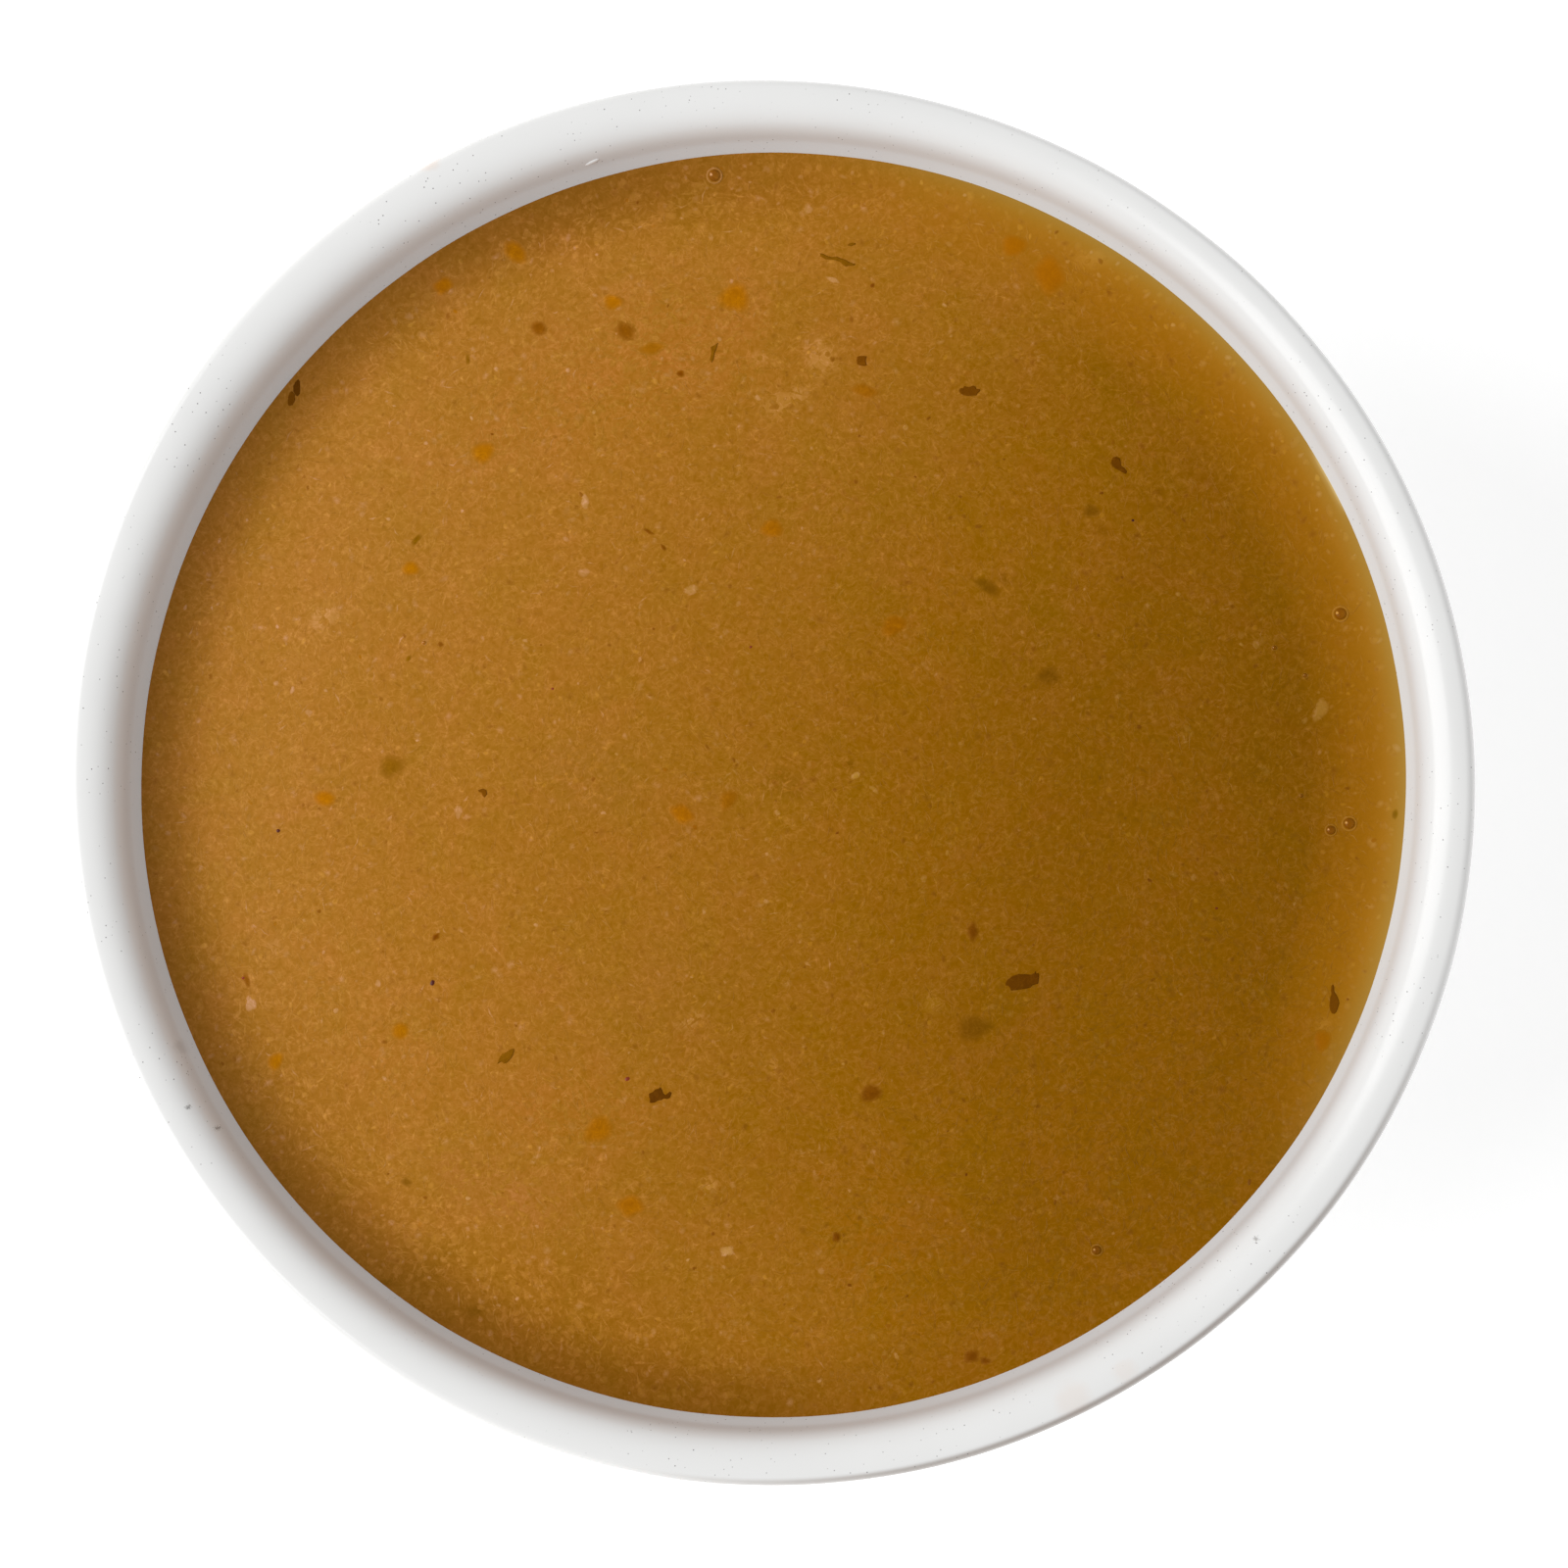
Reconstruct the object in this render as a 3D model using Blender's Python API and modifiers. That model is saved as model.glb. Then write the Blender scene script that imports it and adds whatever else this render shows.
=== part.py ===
# A bowl of soup: a round-lipped white glazed stoneware bowl, filled with a smooth brown
# soup that carries herb flakes, soft carrot bits and a few bubbles on its surface.
# Metres, +Z up. The origin is the middle of the plane that the foot rests on.

import math
import random

import bmesh
import bpy
from mathutils import Matrix, Vector, noise
from mathutils.geometry import interpolate_bezier

MM = 0.001

# The bowl as a whole
HEIGHT = 60 * MM
LIP_RADIUS = 65.1 * MM  # widest, on the side of the bead
LIP_TOP_RADIUS = 63.8 * MM  # where the bead is highest
BEAD_DROP = 1.5 * MM  # from the bead's top down to its widest point
BEAD_UNDER = 4.3 * MM  # from its widest point down to its underside
BEAD_TUCK = 0.5 * MM  # how far that underside stands out of the neck
NECK_RADIUS = 62.9 * MM
NECK_DROP = 2.0 * MM  # from under the bead to where the plain wall starts
LIP_EASE = (2.2 * MM, 3.0 * MM)  # pulls of the curve between inner wall and bead, at its ends
FILLET = 0.8 * MM
ROUNDNESS = 0.55  # pull over radius that gives a quarter of an ellipse

# The inside
WETTED_HEIGHT = 54 * MM  # how far up the soup clings to the wall
WETTED_RADIUS = 59 * MM  # the inner wall at that height
INNER_LEAN = 0.42  # run over rise of the inner wall near the lip
WALL_ABOVE_SOUP = 1.0 * MM  # the straight stretch before the curve to the bead starts
FLOOR_HEIGHT = 8.5 * MM
FLOOR_RADIUS = 16 * MM  # the flat middle of the inner floor
INNER_BELLY = 27 * MM  # pull of the inner curve at both of its ends

# The outside
OUTER_LEAN = 0.30  # run over rise of the wall under the neck
OUTER_BELLY = 26 * MM  # pull of the outer curve at the neck
FOOT_PULL = Vector((17.5 * MM, 6.8 * MM))  # and where it runs into the foot
FOOT_RADIUS = 33 * MM  # where the wall meets the foot ring
FOOT_HEIGHT = 6 * MM
FOOT_INSET = 1.2 * MM  # from there in to the ring's side
FOOT_DRAFT = 0.2 * MM  # the ring's side is this much wider at its top
FOOT_COVE = 2.0 * MM  # height of the curve between wall and ring
FOOT_WIDTH = 5 * MM
FOOT_HOLLOW = 3.2 * MM  # how far the underside lies above the resting plane
FOOT_ROUNDING = 0.8 * MM

# The lip is a little out of round: longer along one line, and with three faint corners
OVAL_DIRECTION = math.radians(135)
OVAL_HALF = 0.44 * MM
OVAL_FADE = 14 * MM  # down the outer wall, until it is round again
WAVE_HALF = 0.15 * MM
WAVE_DIRECTION = math.radians(5)
WAVES = 3

# The soup
SOUP_LEVEL = 53.1 * MM
CLEARANCE = 0.3 * MM  # between the soup's solid and the wall
MENISCUS_WIDTH = 2.0 * MM  # over this distance from the wall its rise falls to a third
MENISCUS_STEPS = (4, 2.2, 1.3, 0.7, 0.3)  # places in from the wall, in such widths
FLAKE_RISE = 0.28 * MM  # how far herb flakes stand out of the soup
FLAKE_DEPTH = 0.75 * MM
FLAKE_CORNERS = 8
FLAKE_TEAR = (0.78, 1.12)  # how far its corners lie in or out
BIT_RISE = 0.30 * MM
BIT_UNEVENNESS = 0.35
BIT_LUMPS = 2.5  # lumps of the unevenness across one bit
BUBBLE_RISE = 0.42 * MM

STEPS_ROUND = 80

# Herb flakes: x and y on the soup, length, width (millimetres), turn in degrees
HERB_FLAKES = [
    (23.5, -18.7, 3.2, 1.5, 10),
    (-10.2, -29.3, 2.3, 1.5, -5),
    (6.9, 49.5, 3.3, 0.9, -25),
    (18.7, 36.4, 1.7, 1.0, 0),
    (32.6, 29.3, 1.7, 1.3, -40),
    (8.9, 39.2, 1.2, 1.1, 0),
    (20.3, 18.1, 2.2, 1.3, -30),
    (-13.6, 42.4, 2.2, 1.6, -60),
    (-5.3, 40.3, 2.2, 0.8, 75),
    (-44.2, 36.4, 2.3, 1.0, 70),
    (-33.3, 22.9, 1.4, 0.7, 50),
    (-35.6, 1.6, 2.4, 1.9, 0),
    (-24.6, -25.6, 1.7, 1.3, 30),
    (-34.0, -37.3, 1.2, 0.8, -30),
    (18.9, -14.1, 1.6, 0.9, 90),
    (19.0, -23.0, 2.7, 2.1, 10),
    (52.3, -20.5, 2.6, 0.8, 100),
    (19.1, -53.6, 2.2, 1.1, -15),
    (30.0, 25.1, 1.5, 1.1, 0),
    (26.0, 9.7, 2.0, 1.6, 0),
]

# Soft carrot bits: x, y, length, width (millimetres), turn in degrees
CARROT_BITS = [
    (26.2, 47.3, 3.2, 2.4, 100),
    (22.9, 50.1, 2.1, 1.7, 0),
    (-3.3, 45.5, 2.6, 2.4, 0),
    (-24.0, 50.0, 2.3, 1.6, 120),
    (-30.8, 46.9, 1.8, 1.3, 30),
    (-14.8, 45.2, 1.6, 1.3, 0),
    (-27.0, 31.1, 2.0, 1.7, 20),
    (-33.8, 20.2, 1.5, 1.2, 0),
    (-41.8, -1.4, 1.7, 1.4, 0),
    (-16.0, -32.4, 2.6, 2.0, 40),
    (-13.0, -39.5, 2.2, 1.7, 0),
    (-8.2, -3.0, 2.1, 1.5, -30),
    (-3.9, -1.7, 1.8, 1.3, 50),
    (-11.1, 40.8, 2.2, 1.0, 10),
    (8.9, 36.6, 2.2, 1.1, -15),
    (11.6, 14.5, 2.2, 1.6, 30),
    (0.2, 23.7, 1.9, 1.5, 0),
    (9.4, -29.1, 1.8, 1.4, 20),
    (-21.8, 42.8, 1.4, 1.2, 0),
    (-34.6, -23.2, 1.6, 1.3, 0),
    (-46.3, -26.0, 1.6, 1.2, 60),
    (51.2, -24.3, 1.8, 1.3, 80),
]

# Bubbles: x, y, width (millimetres)
BUBBLES = [
    (-5.2, 57.0, 1.6),
    (53.1, 15.3, 1.6),
    (53.8, -4.2, 1.5),
    (52.1, -4.8, 1.2),
    (30.3, -43.6, 1.2),
]


def clear_scene():
    for thing in list(bpy.data.objects):
        bpy.data.objects.remove(thing, do_unlink=True)


def add_collection(name):
    group = bpy.data.collections.new(name)
    bpy.context.scene.collection.children.link(group)
    return group


def add_material(name, colour, roughness):
    material = bpy.data.materials.new(name)
    material.use_nodes = True
    shader = material.node_tree.nodes["Principled BSDF"]
    shader.inputs["Base Color"].default_value = (*colour, 1.0)
    shader.inputs["Roughness"].default_value = roughness
    shader.inputs["Metallic"].default_value = 0.0
    return material


def curve_points(start, pull_start, pull_end, end, count):
    """Points of a smooth curve in the (radius, height) plane, without its first one."""
    knots = (start, start + pull_start, end + pull_end, end)
    return interpolate_bezier(*knots, count + 1)[1:]


def inner_wall(gap):
    """(radius, height) from the floor's middle up to the soup's edge, gap inside the wall."""
    up = Vector((INNER_LEAN, 1)).normalized()
    inward = Vector((-up.y, up.x))
    floor_middle = Vector((0, FLOOR_HEIGHT + gap))
    floor_edge = Vector((FLOOR_RADIUS, FLOOR_HEIGHT + gap))
    wetted = Vector((WETTED_RADIUS, WETTED_HEIGHT)) + inward * gap
    belly = curve_points(
        floor_edge,
        Vector((INNER_BELLY, 0)),
        -up * INNER_BELLY,
        wetted,
        11,
    )
    return [floor_middle, floor_edge, *belly]


def bowl_profile():
    """From the floor's middle, up the inside, over the lip, down to the underside's middle."""
    up = Vector((INNER_LEAN, 1)).normalized()
    down = Vector((-OUTER_LEAN, -1)).normalized()
    points = inner_wall(0)
    wall_top = points[-1] + up * WALL_ABOVE_SOUP
    lip_top = Vector((LIP_TOP_RADIUS, HEIGHT))
    widest = Vector((LIP_RADIUS, HEIGHT - BEAD_DROP))
    under = Vector((NECK_RADIUS + BEAD_TUCK, widest.y - BEAD_UNDER))
    neck = Vector((NECK_RADIUS, under.y - NECK_DROP))
    foot_top = Vector((FOOT_RADIUS, FOOT_HEIGHT))

    points.append(wall_top)
    points += curve_points(
        wall_top,
        up * LIP_EASE[0],
        Vector((-LIP_EASE[1], 0)),
        lip_top,
        7,
    )
    points += curve_points(
        lip_top,
        Vector((LIP_RADIUS - LIP_TOP_RADIUS, 0)) * ROUNDNESS,
        Vector((0, BEAD_DROP)) * ROUNDNESS,
        widest,
        5,
    )
    points += curve_points(
        widest,
        Vector((0, -BEAD_UNDER)) * ROUNDNESS,
        Vector((BEAD_TUCK, FILLET)),
        under,
        4,
    )
    points += curve_points(
        under,
        Vector((-BEAD_TUCK, -FILLET)) * ROUNDNESS,
        -down * FILLET,
        neck,
        2,
    )
    points += curve_points(neck, down * OUTER_BELLY, FOOT_PULL, foot_top, 9)
    return points + foot_profile()


def foot_profile():
    """The foot ring, from under the wall to the middle of the underside."""
    outer = FOOT_RADIUS - FOOT_INSET
    inner = outer - FOOT_WIDTH
    corner = FOOT_ROUNDING * (1 - math.sqrt(0.5))
    return [
        Vector((outer + FOOT_DRAFT, FOOT_HEIGHT - FOOT_COVE)),
        Vector((outer, FOOT_ROUNDING)),
        Vector((outer - corner, corner)),
        Vector((outer - FOOT_ROUNDING, 0)),
        Vector((inner + FOOT_ROUNDING, 0)),
        Vector((inner + corner, corner)),
        Vector((inner, FOOT_ROUNDING)),
        Vector((inner - FOOT_ROUNDING, FOOT_HOLLOW)),
        Vector((0, FOOT_HOLLOW)),
    ]


def surface_height(radius):
    """The soup's surface: flat, then drawn up to its edge on the wall."""
    edge = inner_wall(CLEARANCE)[-1]
    return SOUP_LEVEL + (edge.y - SOUP_LEVEL) * math.exp((radius - edge.x) / MENISCUS_WIDTH)


def soup_profile():
    """From the middle of the surface, out over the meniscus, down the wall, to the floor."""
    wall = inner_wall(CLEARANCE)
    surface = [Vector((0, SOUP_LEVEL))]
    for step in MENISCUS_STEPS:
        radius = wall[-1].x - MENISCUS_WIDTH * step
        surface.append(Vector((radius, surface_height(radius))))
    return surface + wall[::-1]


def turn_profile(name, points, material, group):
    """A solid turned about the upright axis, made by a Screw modifier."""
    mesh = bpy.data.meshes.new(name)
    corners = [(point.x, 0, point.y) for point in points]
    edges = [(k, k + 1) for k in range(len(points) - 1)]
    mesh.from_pydata(corners, edges, [])
    mesh.materials.append(material)
    thing = bpy.data.objects.new(name, mesh)
    group.objects.link(thing)
    screw = thing.modifiers.new("turned", "SCREW")
    screw.steps = STEPS_ROUND
    screw.render_steps = STEPS_ROUND
    screw.use_merge_vertices = True
    screw.merge_threshold = 0.00005
    screw.use_smooth_shade = True
    return thing


def apply_modifiers(thing):
    """Puts the evaluated mesh in the place of the modifiers."""
    graph = bpy.context.evaluated_depsgraph_get()
    mesh = bpy.data.meshes.new_from_object(thing.evaluated_get(graph))
    thing.modifiers.clear()
    thing.data = mesh
    mesh.shade_smooth()
    mesh.set_sharp_from_angle(angle=math.radians(35))


def shape_lip(bowl):
    """Pulls the lip a little out of round, fading inwards and down the outer wall."""
    inner_limit = WETTED_RADIUS + INNER_LEAN * WALL_ABOVE_SOUP
    for corner in bowl.data.vertices:
        place = corner.co
        radius = math.hypot(place.x, place.y)
        angle = math.atan2(place.y, place.x)
        outward = (radius - inner_limit) / (LIP_RADIUS - inner_limit)
        downward = 1 - (HEIGHT - BEAD_DROP - place.z) / OVAL_FADE
        share = min(max(outward, 0), 1) * min(max(downward, 0), 1)
        oval = OVAL_HALF * math.cos(2 * (angle - OVAL_DIRECTION))
        wave = WAVE_HALF * math.cos(WAVES * (angle - WAVE_DIRECTION))
        scale = 1 + share * (oval + wave) / max(radius, MM)
        place.x *= scale
        place.y *= scale


def make_bowl(group):
    glaze = add_material("white_glaze", (0.86, 0.85, 0.83), 0.12)
    bowl = turn_profile("bowl", bowl_profile(), glaze, group)
    apply_modifiers(bowl)
    shape_lip(bowl)
    return bowl


def flake_cage(length, width, draw):
    """A flat flake with a torn outline, its top a little above the soup."""
    cage = bmesh.new()
    bmesh.ops.create_cone(
        cage,
        cap_ends=True,
        segments=FLAKE_CORNERS,
        radius1=0.5,
        radius2=0.5,
        depth=FLAKE_DEPTH,
    )
    tears = [draw.uniform(*FLAKE_TEAR) for _ in range(FLAKE_CORNERS)]
    for corner in cage.verts:
        turn = math.atan2(corner.co.y, corner.co.x) / math.tau
        tear = tears[round(turn * FLAKE_CORNERS) % FLAKE_CORNERS]
        corner.co.x *= length * tear
        corner.co.y *= width * tear
        corner.co.z += FLAKE_RISE - FLAKE_DEPTH / 2
    return cage


def bit_cage(length, width, draw):
    """A soft lump with a low rounded top."""
    cage = bmesh.new()
    bmesh.ops.create_icosphere(cage, subdivisions=2, radius=0.5)
    shift = Vector((draw.uniform(0, 50), draw.uniform(0, 50), 0))
    for corner in cage.verts:
        swell = 1 + BIT_UNEVENNESS * noise.noise(corner.co * BIT_LUMPS + shift)
        corner.co.x *= length * swell
        corner.co.y *= width * swell
        corner.co.z *= 2 * BIT_RISE
    return cage


def bubble_cage(width):
    """A low dome."""
    cage = bmesh.new()
    bmesh.ops.create_uvsphere(cage, u_segments=14, v_segments=8, radius=0.5)
    bmesh.ops.scale(cage, verts=cage.verts, vec=(width, width, 2 * BUBBLE_RISE))
    return cage


def add_topping(name, cage, x, y, turn, group):
    """Turns a small shape and sets it in the soup's surface, at x and y in millimetres."""
    spin = Matrix.Rotation(math.radians(turn), 3, "Z")
    bmesh.ops.rotate(cage, verts=cage.verts, matrix=spin)
    height = surface_height(math.hypot(x, y) * MM)
    bmesh.ops.translate(cage, verts=cage.verts, vec=(x * MM, y * MM, height))
    mesh = bpy.data.meshes.new(name)
    cage.to_mesh(mesh)
    cage.free()
    group.objects.link(bpy.data.objects.new(name, mesh))


def add_toppings(group):
    draw = random.Random(7)
    for k, (x, y, length, width, turn) in enumerate(HERB_FLAKES):
        cage = flake_cage(length * MM, width * MM, draw)
        add_topping(f"herb_{k}", cage, x, y, turn, group)
    for k, (x, y, length, width, turn) in enumerate(CARROT_BITS):
        cage = bit_cage(length * MM, width * MM, draw)
        add_topping(f"carrot_{k}", cage, x, y, turn, group)
    for k, (x, y, width) in enumerate(BUBBLES):
        cage = bubble_cage(width * MM)
        add_topping(f"bubble_{k}", cage, x, y, 0, group)


def make_soup(group):
    """The soup as one solid, with what floats on it fused to its surface."""
    brown = add_material("brown_soup", (0.31, 0.13, 0.012), 0.25)
    soup = turn_profile("soup", soup_profile(), brown, group)
    toppings = add_collection("toppings")
    add_toppings(toppings)
    union = soup.modifiers.new("toppings", "BOOLEAN")
    union.operation = "UNION"
    union.operand_type = "COLLECTION"
    union.collection = toppings
    union.solver = "EXACT"
    apply_modifiers(soup)
    for topping in list(toppings.objects):
        bpy.data.objects.remove(topping, do_unlink=True)
    bpy.data.collections.remove(toppings)
    return soup


def main():
    clear_scene()
    dish = add_collection("bowl_of_soup")
    make_bowl(dish)
    make_soup(dish)


main()
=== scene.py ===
import random
from functools import partial
from math import atan2, cos, exp, hypot, pi, radians, sin, sqrt, tau

import bpy
import numpy as np
from mathutils import Matrix, Vector, noise
from mathutils.geometry import interpolate_bezier


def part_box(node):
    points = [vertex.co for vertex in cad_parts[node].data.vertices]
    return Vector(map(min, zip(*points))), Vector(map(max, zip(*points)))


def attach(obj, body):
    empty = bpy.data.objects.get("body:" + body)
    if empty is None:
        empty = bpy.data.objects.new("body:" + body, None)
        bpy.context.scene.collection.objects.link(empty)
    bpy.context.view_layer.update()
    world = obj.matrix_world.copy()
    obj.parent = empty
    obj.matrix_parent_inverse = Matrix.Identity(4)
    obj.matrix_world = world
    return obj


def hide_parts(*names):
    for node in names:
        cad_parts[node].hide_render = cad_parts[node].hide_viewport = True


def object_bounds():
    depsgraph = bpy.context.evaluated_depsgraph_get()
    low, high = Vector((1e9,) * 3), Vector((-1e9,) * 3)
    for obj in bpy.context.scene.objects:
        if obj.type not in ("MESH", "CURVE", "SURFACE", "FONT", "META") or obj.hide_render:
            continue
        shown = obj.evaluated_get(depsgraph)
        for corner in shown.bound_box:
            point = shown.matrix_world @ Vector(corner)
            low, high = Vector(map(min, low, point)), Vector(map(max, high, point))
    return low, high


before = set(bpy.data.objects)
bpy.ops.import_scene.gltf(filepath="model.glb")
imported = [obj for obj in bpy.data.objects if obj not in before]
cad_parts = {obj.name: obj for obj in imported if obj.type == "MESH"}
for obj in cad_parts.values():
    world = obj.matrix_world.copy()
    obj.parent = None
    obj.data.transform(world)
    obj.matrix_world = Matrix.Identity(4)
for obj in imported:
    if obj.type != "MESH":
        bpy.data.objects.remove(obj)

# A bowl of smooth brown soup in white glazed stoneware, seen from above.
# Metres, +Z up, the middle of the foot at the origin; lengths are written as millimetres * mm.

mm = 0.001
noiseSpan = {1: 0.3, 2: 0.7}  # MapRange inputs: where nearly all of a noise's values lie
cadLow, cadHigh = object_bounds()
bowlLow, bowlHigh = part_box("bowl")


def fromHex(code):
    # sRGB hex to the linear colour that shaders take
    channels = [int(code[k : k + 2], 16) / 255 for k in (1, 3, 5)]
    return (*[c / 12.92 if c <= 0.04045 else ((c + 0.055) / 1.055) ** 2.4 for c in channels], 1.0)


def addNode(tree, kind, inputs=None, out=None, **settings):
    # Adds a shader node and gives back its output, the first in use unless one is named. Each
    # input is a value, a hex colour or the socket that feeds it; those of MapRange are numbered
    # 0 for the value, 1 and 2 for its range, and 3 and 4 for the range that it is turned to.
    node = tree.nodes.new("ShaderNode" + kind)
    for name, value in settings.items():
        setattr(node, name, value)
    for name, value in (inputs or {}).items():
        if isinstance(value, bpy.types.NodeSocket):
            tree.links.new(value, node.inputs[name])
        else:
            node.inputs[name].default_value = fromHex(value) if isinstance(value, str) else value
    return node.outputs[out] if out else next(socket for socket in node.outputs if socket.enabled)


def newMaterial(name, constants):
    # a Principled material, with constants on the shader's own sockets
    material = bpy.data.materials.new(name)
    material.use_nodes = True
    shader = material.node_tree.nodes["Principled BSDF"]
    for socket, value in constants.items():
        shader.inputs[socket].default_value = value
    return material, material.node_tree, shader


def placeInMillimetres(tree):
    # object coordinates in millimetres, so that a pattern's scale reads as a real size
    coordinates = addNode(tree, "TexCoord", out="Object")
    return addNode(tree, "VectorMath", {0: coordinates, "Scale": 1 / mm}, operation="SCALE")


def addObject(name, data):
    thing = bpy.data.objects.new(name, data)
    bpy.context.scene.collection.objects.link(thing)
    return thing


def addPiece(name, vertices, faces, material, shade=None):
    # one mesh piece that rides with the dish; shade multiplies the soup's colour at each point
    mesh = bpy.data.meshes.new(name)
    mesh.from_pydata(vertices, [], faces)
    mesh.polygons.foreach_set("use_smooth", [True] * len(mesh.polygons))
    if shade is not None:
        layer = mesh.attributes.new("shade", "FLOAT_COLOR", "POINT")
        layer.data.foreach_set("color", np.column_stack((shade, np.ones(len(shade)))).ravel())
    mesh.materials.append(material)
    mesh.update()
    piece = addObject(name, mesh)
    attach(piece, "root")
    return piece


def sharpenRims(piece):
    # so that a rim is shaded as part of the surface it lies in, not of the side under it
    piece.data.set_sharp_from_angle(angle=radians(30))


def bezierRun(start, pullStart, pullEnd, end, count):
    return interpolate_bezier(start, start + pullStart, end + pullEnd, end, count + 1)[1:]


def smoothStep(low, high, values):
    t = np.clip((values - low) / (high - low), 0, 1)
    return t * t * (3 - 2 * t)


def direction(degrees, height=0):
    # a unit vector by its turn from +X and its height above the table
    turn, height = radians(degrees), radians(height)
    return Vector((cos(turn) * cos(height), sin(turn) * cos(height), sin(height)))


# The camera looks almost straight down and leans a little to the lower right

cameraView = {
    "distance": 600 * mm,  # from the middle of the lip
    "height": 84.2,  # degrees above the table
    "from": -45,  # degrees from +X
    "frameWidth": 145.25 * mm,  # what the picture's width covers at the lip
    "aim": Vector((1.60, -0.53, 57.0)) * mm,
    "sensor": 36.0,
}


def makeCamera():
    v = cameraView
    back = direction(v["from"], v["height"])
    right = Vector((0, 1, 0)).cross(back).normalized()
    data = bpy.data.cameras.new("camera")
    data.sensor_width = v["sensor"]
    data.lens = v["sensor"] * v["distance"] / v["frameWidth"]
    data.clip_start, data.clip_end = 10 * mm, 20
    camera = addObject("camera", data)
    axes = Matrix((right, back.cross(right), back)).transposed()
    camera.matrix_world = Matrix.Translation(v["aim"] + back * v["distance"]) @ axes.to_4x4()
    bpy.context.scene.camera = camera


makeCamera()
print("camera set")


# A wide soft light from the left, pale surroundings and a white table lit through from below

studio = {
    "surroundings": 0.53,
    "keyPower": 6.0,
    "keySize": 900 * mm,
    "keyDistance": 900 * mm,
    "keyFrom": 184,  # degrees from +X
    "keyHeight": 46,  # degrees above the table
    "tableSize": 6.0,
    "tableGlow": 0.4,
    "tableRoughness": 0.8,
    "tableWhites": ("#F4F4F4", "#F9F9F9"),
    "tableCloud": 60,  # size of its patches of white, millimetres
}


def makeStudio():
    s = studio
    world = bpy.data.worlds.new("surroundings")
    world.use_nodes = True
    background = world.node_tree.nodes["Background"]
    background.inputs["Color"].default_value = fromHex("#FFFFFF")
    background.inputs["Strength"].default_value = s["surroundings"]
    bpy.context.scene.world = world

    towards = direction(s["keyFrom"], s["keyHeight"])
    data = bpy.data.lights.new("key", "AREA")
    data.shape = "DISK"
    data.size = s["keySize"]
    data.energy = s["keyPower"]
    key = addObject("key", data)
    key.location = Vector((0, 0, cadHigh.z)) + towards * s["keyDistance"]
    key.rotation_euler = towards.to_track_quat("Z", "Y").to_euler()

    half = s["tableSize"] / 2
    corners = [(x * half, y * half, cadLow.z) for x, y in ((-1, -1), (1, -1), (1, 1), (-1, 1))]
    mesh = bpy.data.meshes.new("table")
    mesh.from_pydata(corners, [], [(0, 1, 2, 3)])
    # white acrylic, sanded matte: a flat white with hardly any sheen
    glow = {"Emission Color": fromHex("#FFFFFF"), "Emission Strength": s["tableGlow"]}
    material, tree, shader = newMaterial(
        "sandedWhiteAcrylic", {"Roughness": s["tableRoughness"], **glow}
    )
    place = placeInMillimetres(tree)
    cloud = addNode(tree, "TexNoise", {"Vector": place, "Scale": 1 / s["tableCloud"]})
    dull, bright = s["tableWhites"]
    tint = addNode(tree, "Mix", {0: cloud, 6: dull, 7: bright}, data_type="RGBA")
    tree.links.new(tint, shader.inputs["Base Color"])
    mesh.materials.append(material)
    addObject("table", mesh)
    bpy.context.scene.view_settings.view_transform = "Standard"


makeStudio()
print("studio set")


# The bowl: one turned form with a rounded bead for a lip

bowlForm = {
    "height": bowlHigh.z,
    "lipRadius": 65.1 * mm,
    "lipTopRadius": 64.2 * mm,
    "beadDrop": 1.5 * mm,
    "beadUnder": 4.3 * mm,
    "beadTuck": 0.5 * mm,
    "roundness": 0.55,  # pull over radius where a curve turns a quarter
    "overPull": 0.75,  # the same over the top of the bead, which is flatter
    "neckRadius": 62.9 * mm,
    "neckDrop": 2.0 * mm,
    "lipEase": (1.6 * mm, 4.0 * mm),
    "fillet": 0.8 * mm,
    "wettedHeight": 54 * mm,  # how far up the soup clings to the wall
    "wettedRadius": 59 * mm,
    "innerLean": 0.42,
    "wallAboveSoup": 1.8 * mm,
    "floorHeight": 8.5 * mm,
    "floorRadius": 16 * mm,
    "innerBelly": 27 * mm,
    "outerLean": 0.30,
    "outerBelly": 26 * mm,
    "footPull": Vector((17.5, 6.8)) * mm,
    "footRadius": 33 * mm,
    "footHeight": 6 * mm,
    "footInset": 1.2 * mm,
    "footDraft": 0.2 * mm,
    "footCove": 2.0 * mm,
    "footWidth": 5 * mm,
    "footHollow": 3.2 * mm,
    "footRounding": 0.8 * mm,
    "ovalFrom": radians(135),
    "ovalHalf": 0.44 * mm,
    "ovalFade": 14 * mm,
    "waveFrom": radians(5),
    "waveHalf": 0.15 * mm,
    "pointsAround": 720,
    "glazeRipple": 0.035 * mm,  # how far the glaze swells and thins
    "glazeRippleSize": 9 * mm,
}


def innerWall(depthInWall, count):
    # (radius, height) from the middle of the floor to the soup's level
    f = bowlForm
    up = Vector((f["innerLean"], 1)).normalized()
    outward = Vector((up.y, -up.x))
    floorMiddle = Vector((0, f["floorHeight"] - depthInWall))
    floorEdge = Vector((f["floorRadius"], floorMiddle.y))
    wetted = Vector((f["wettedRadius"], f["wettedHeight"])) + outward * depthInWall
    belly = bezierRun(floorEdge, Vector((f["innerBelly"], 0)), -up * f["innerBelly"], wetted, count)
    return [floorMiddle, floorMiddle.lerp(floorEdge, 0.5), floorEdge, *belly]


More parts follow.
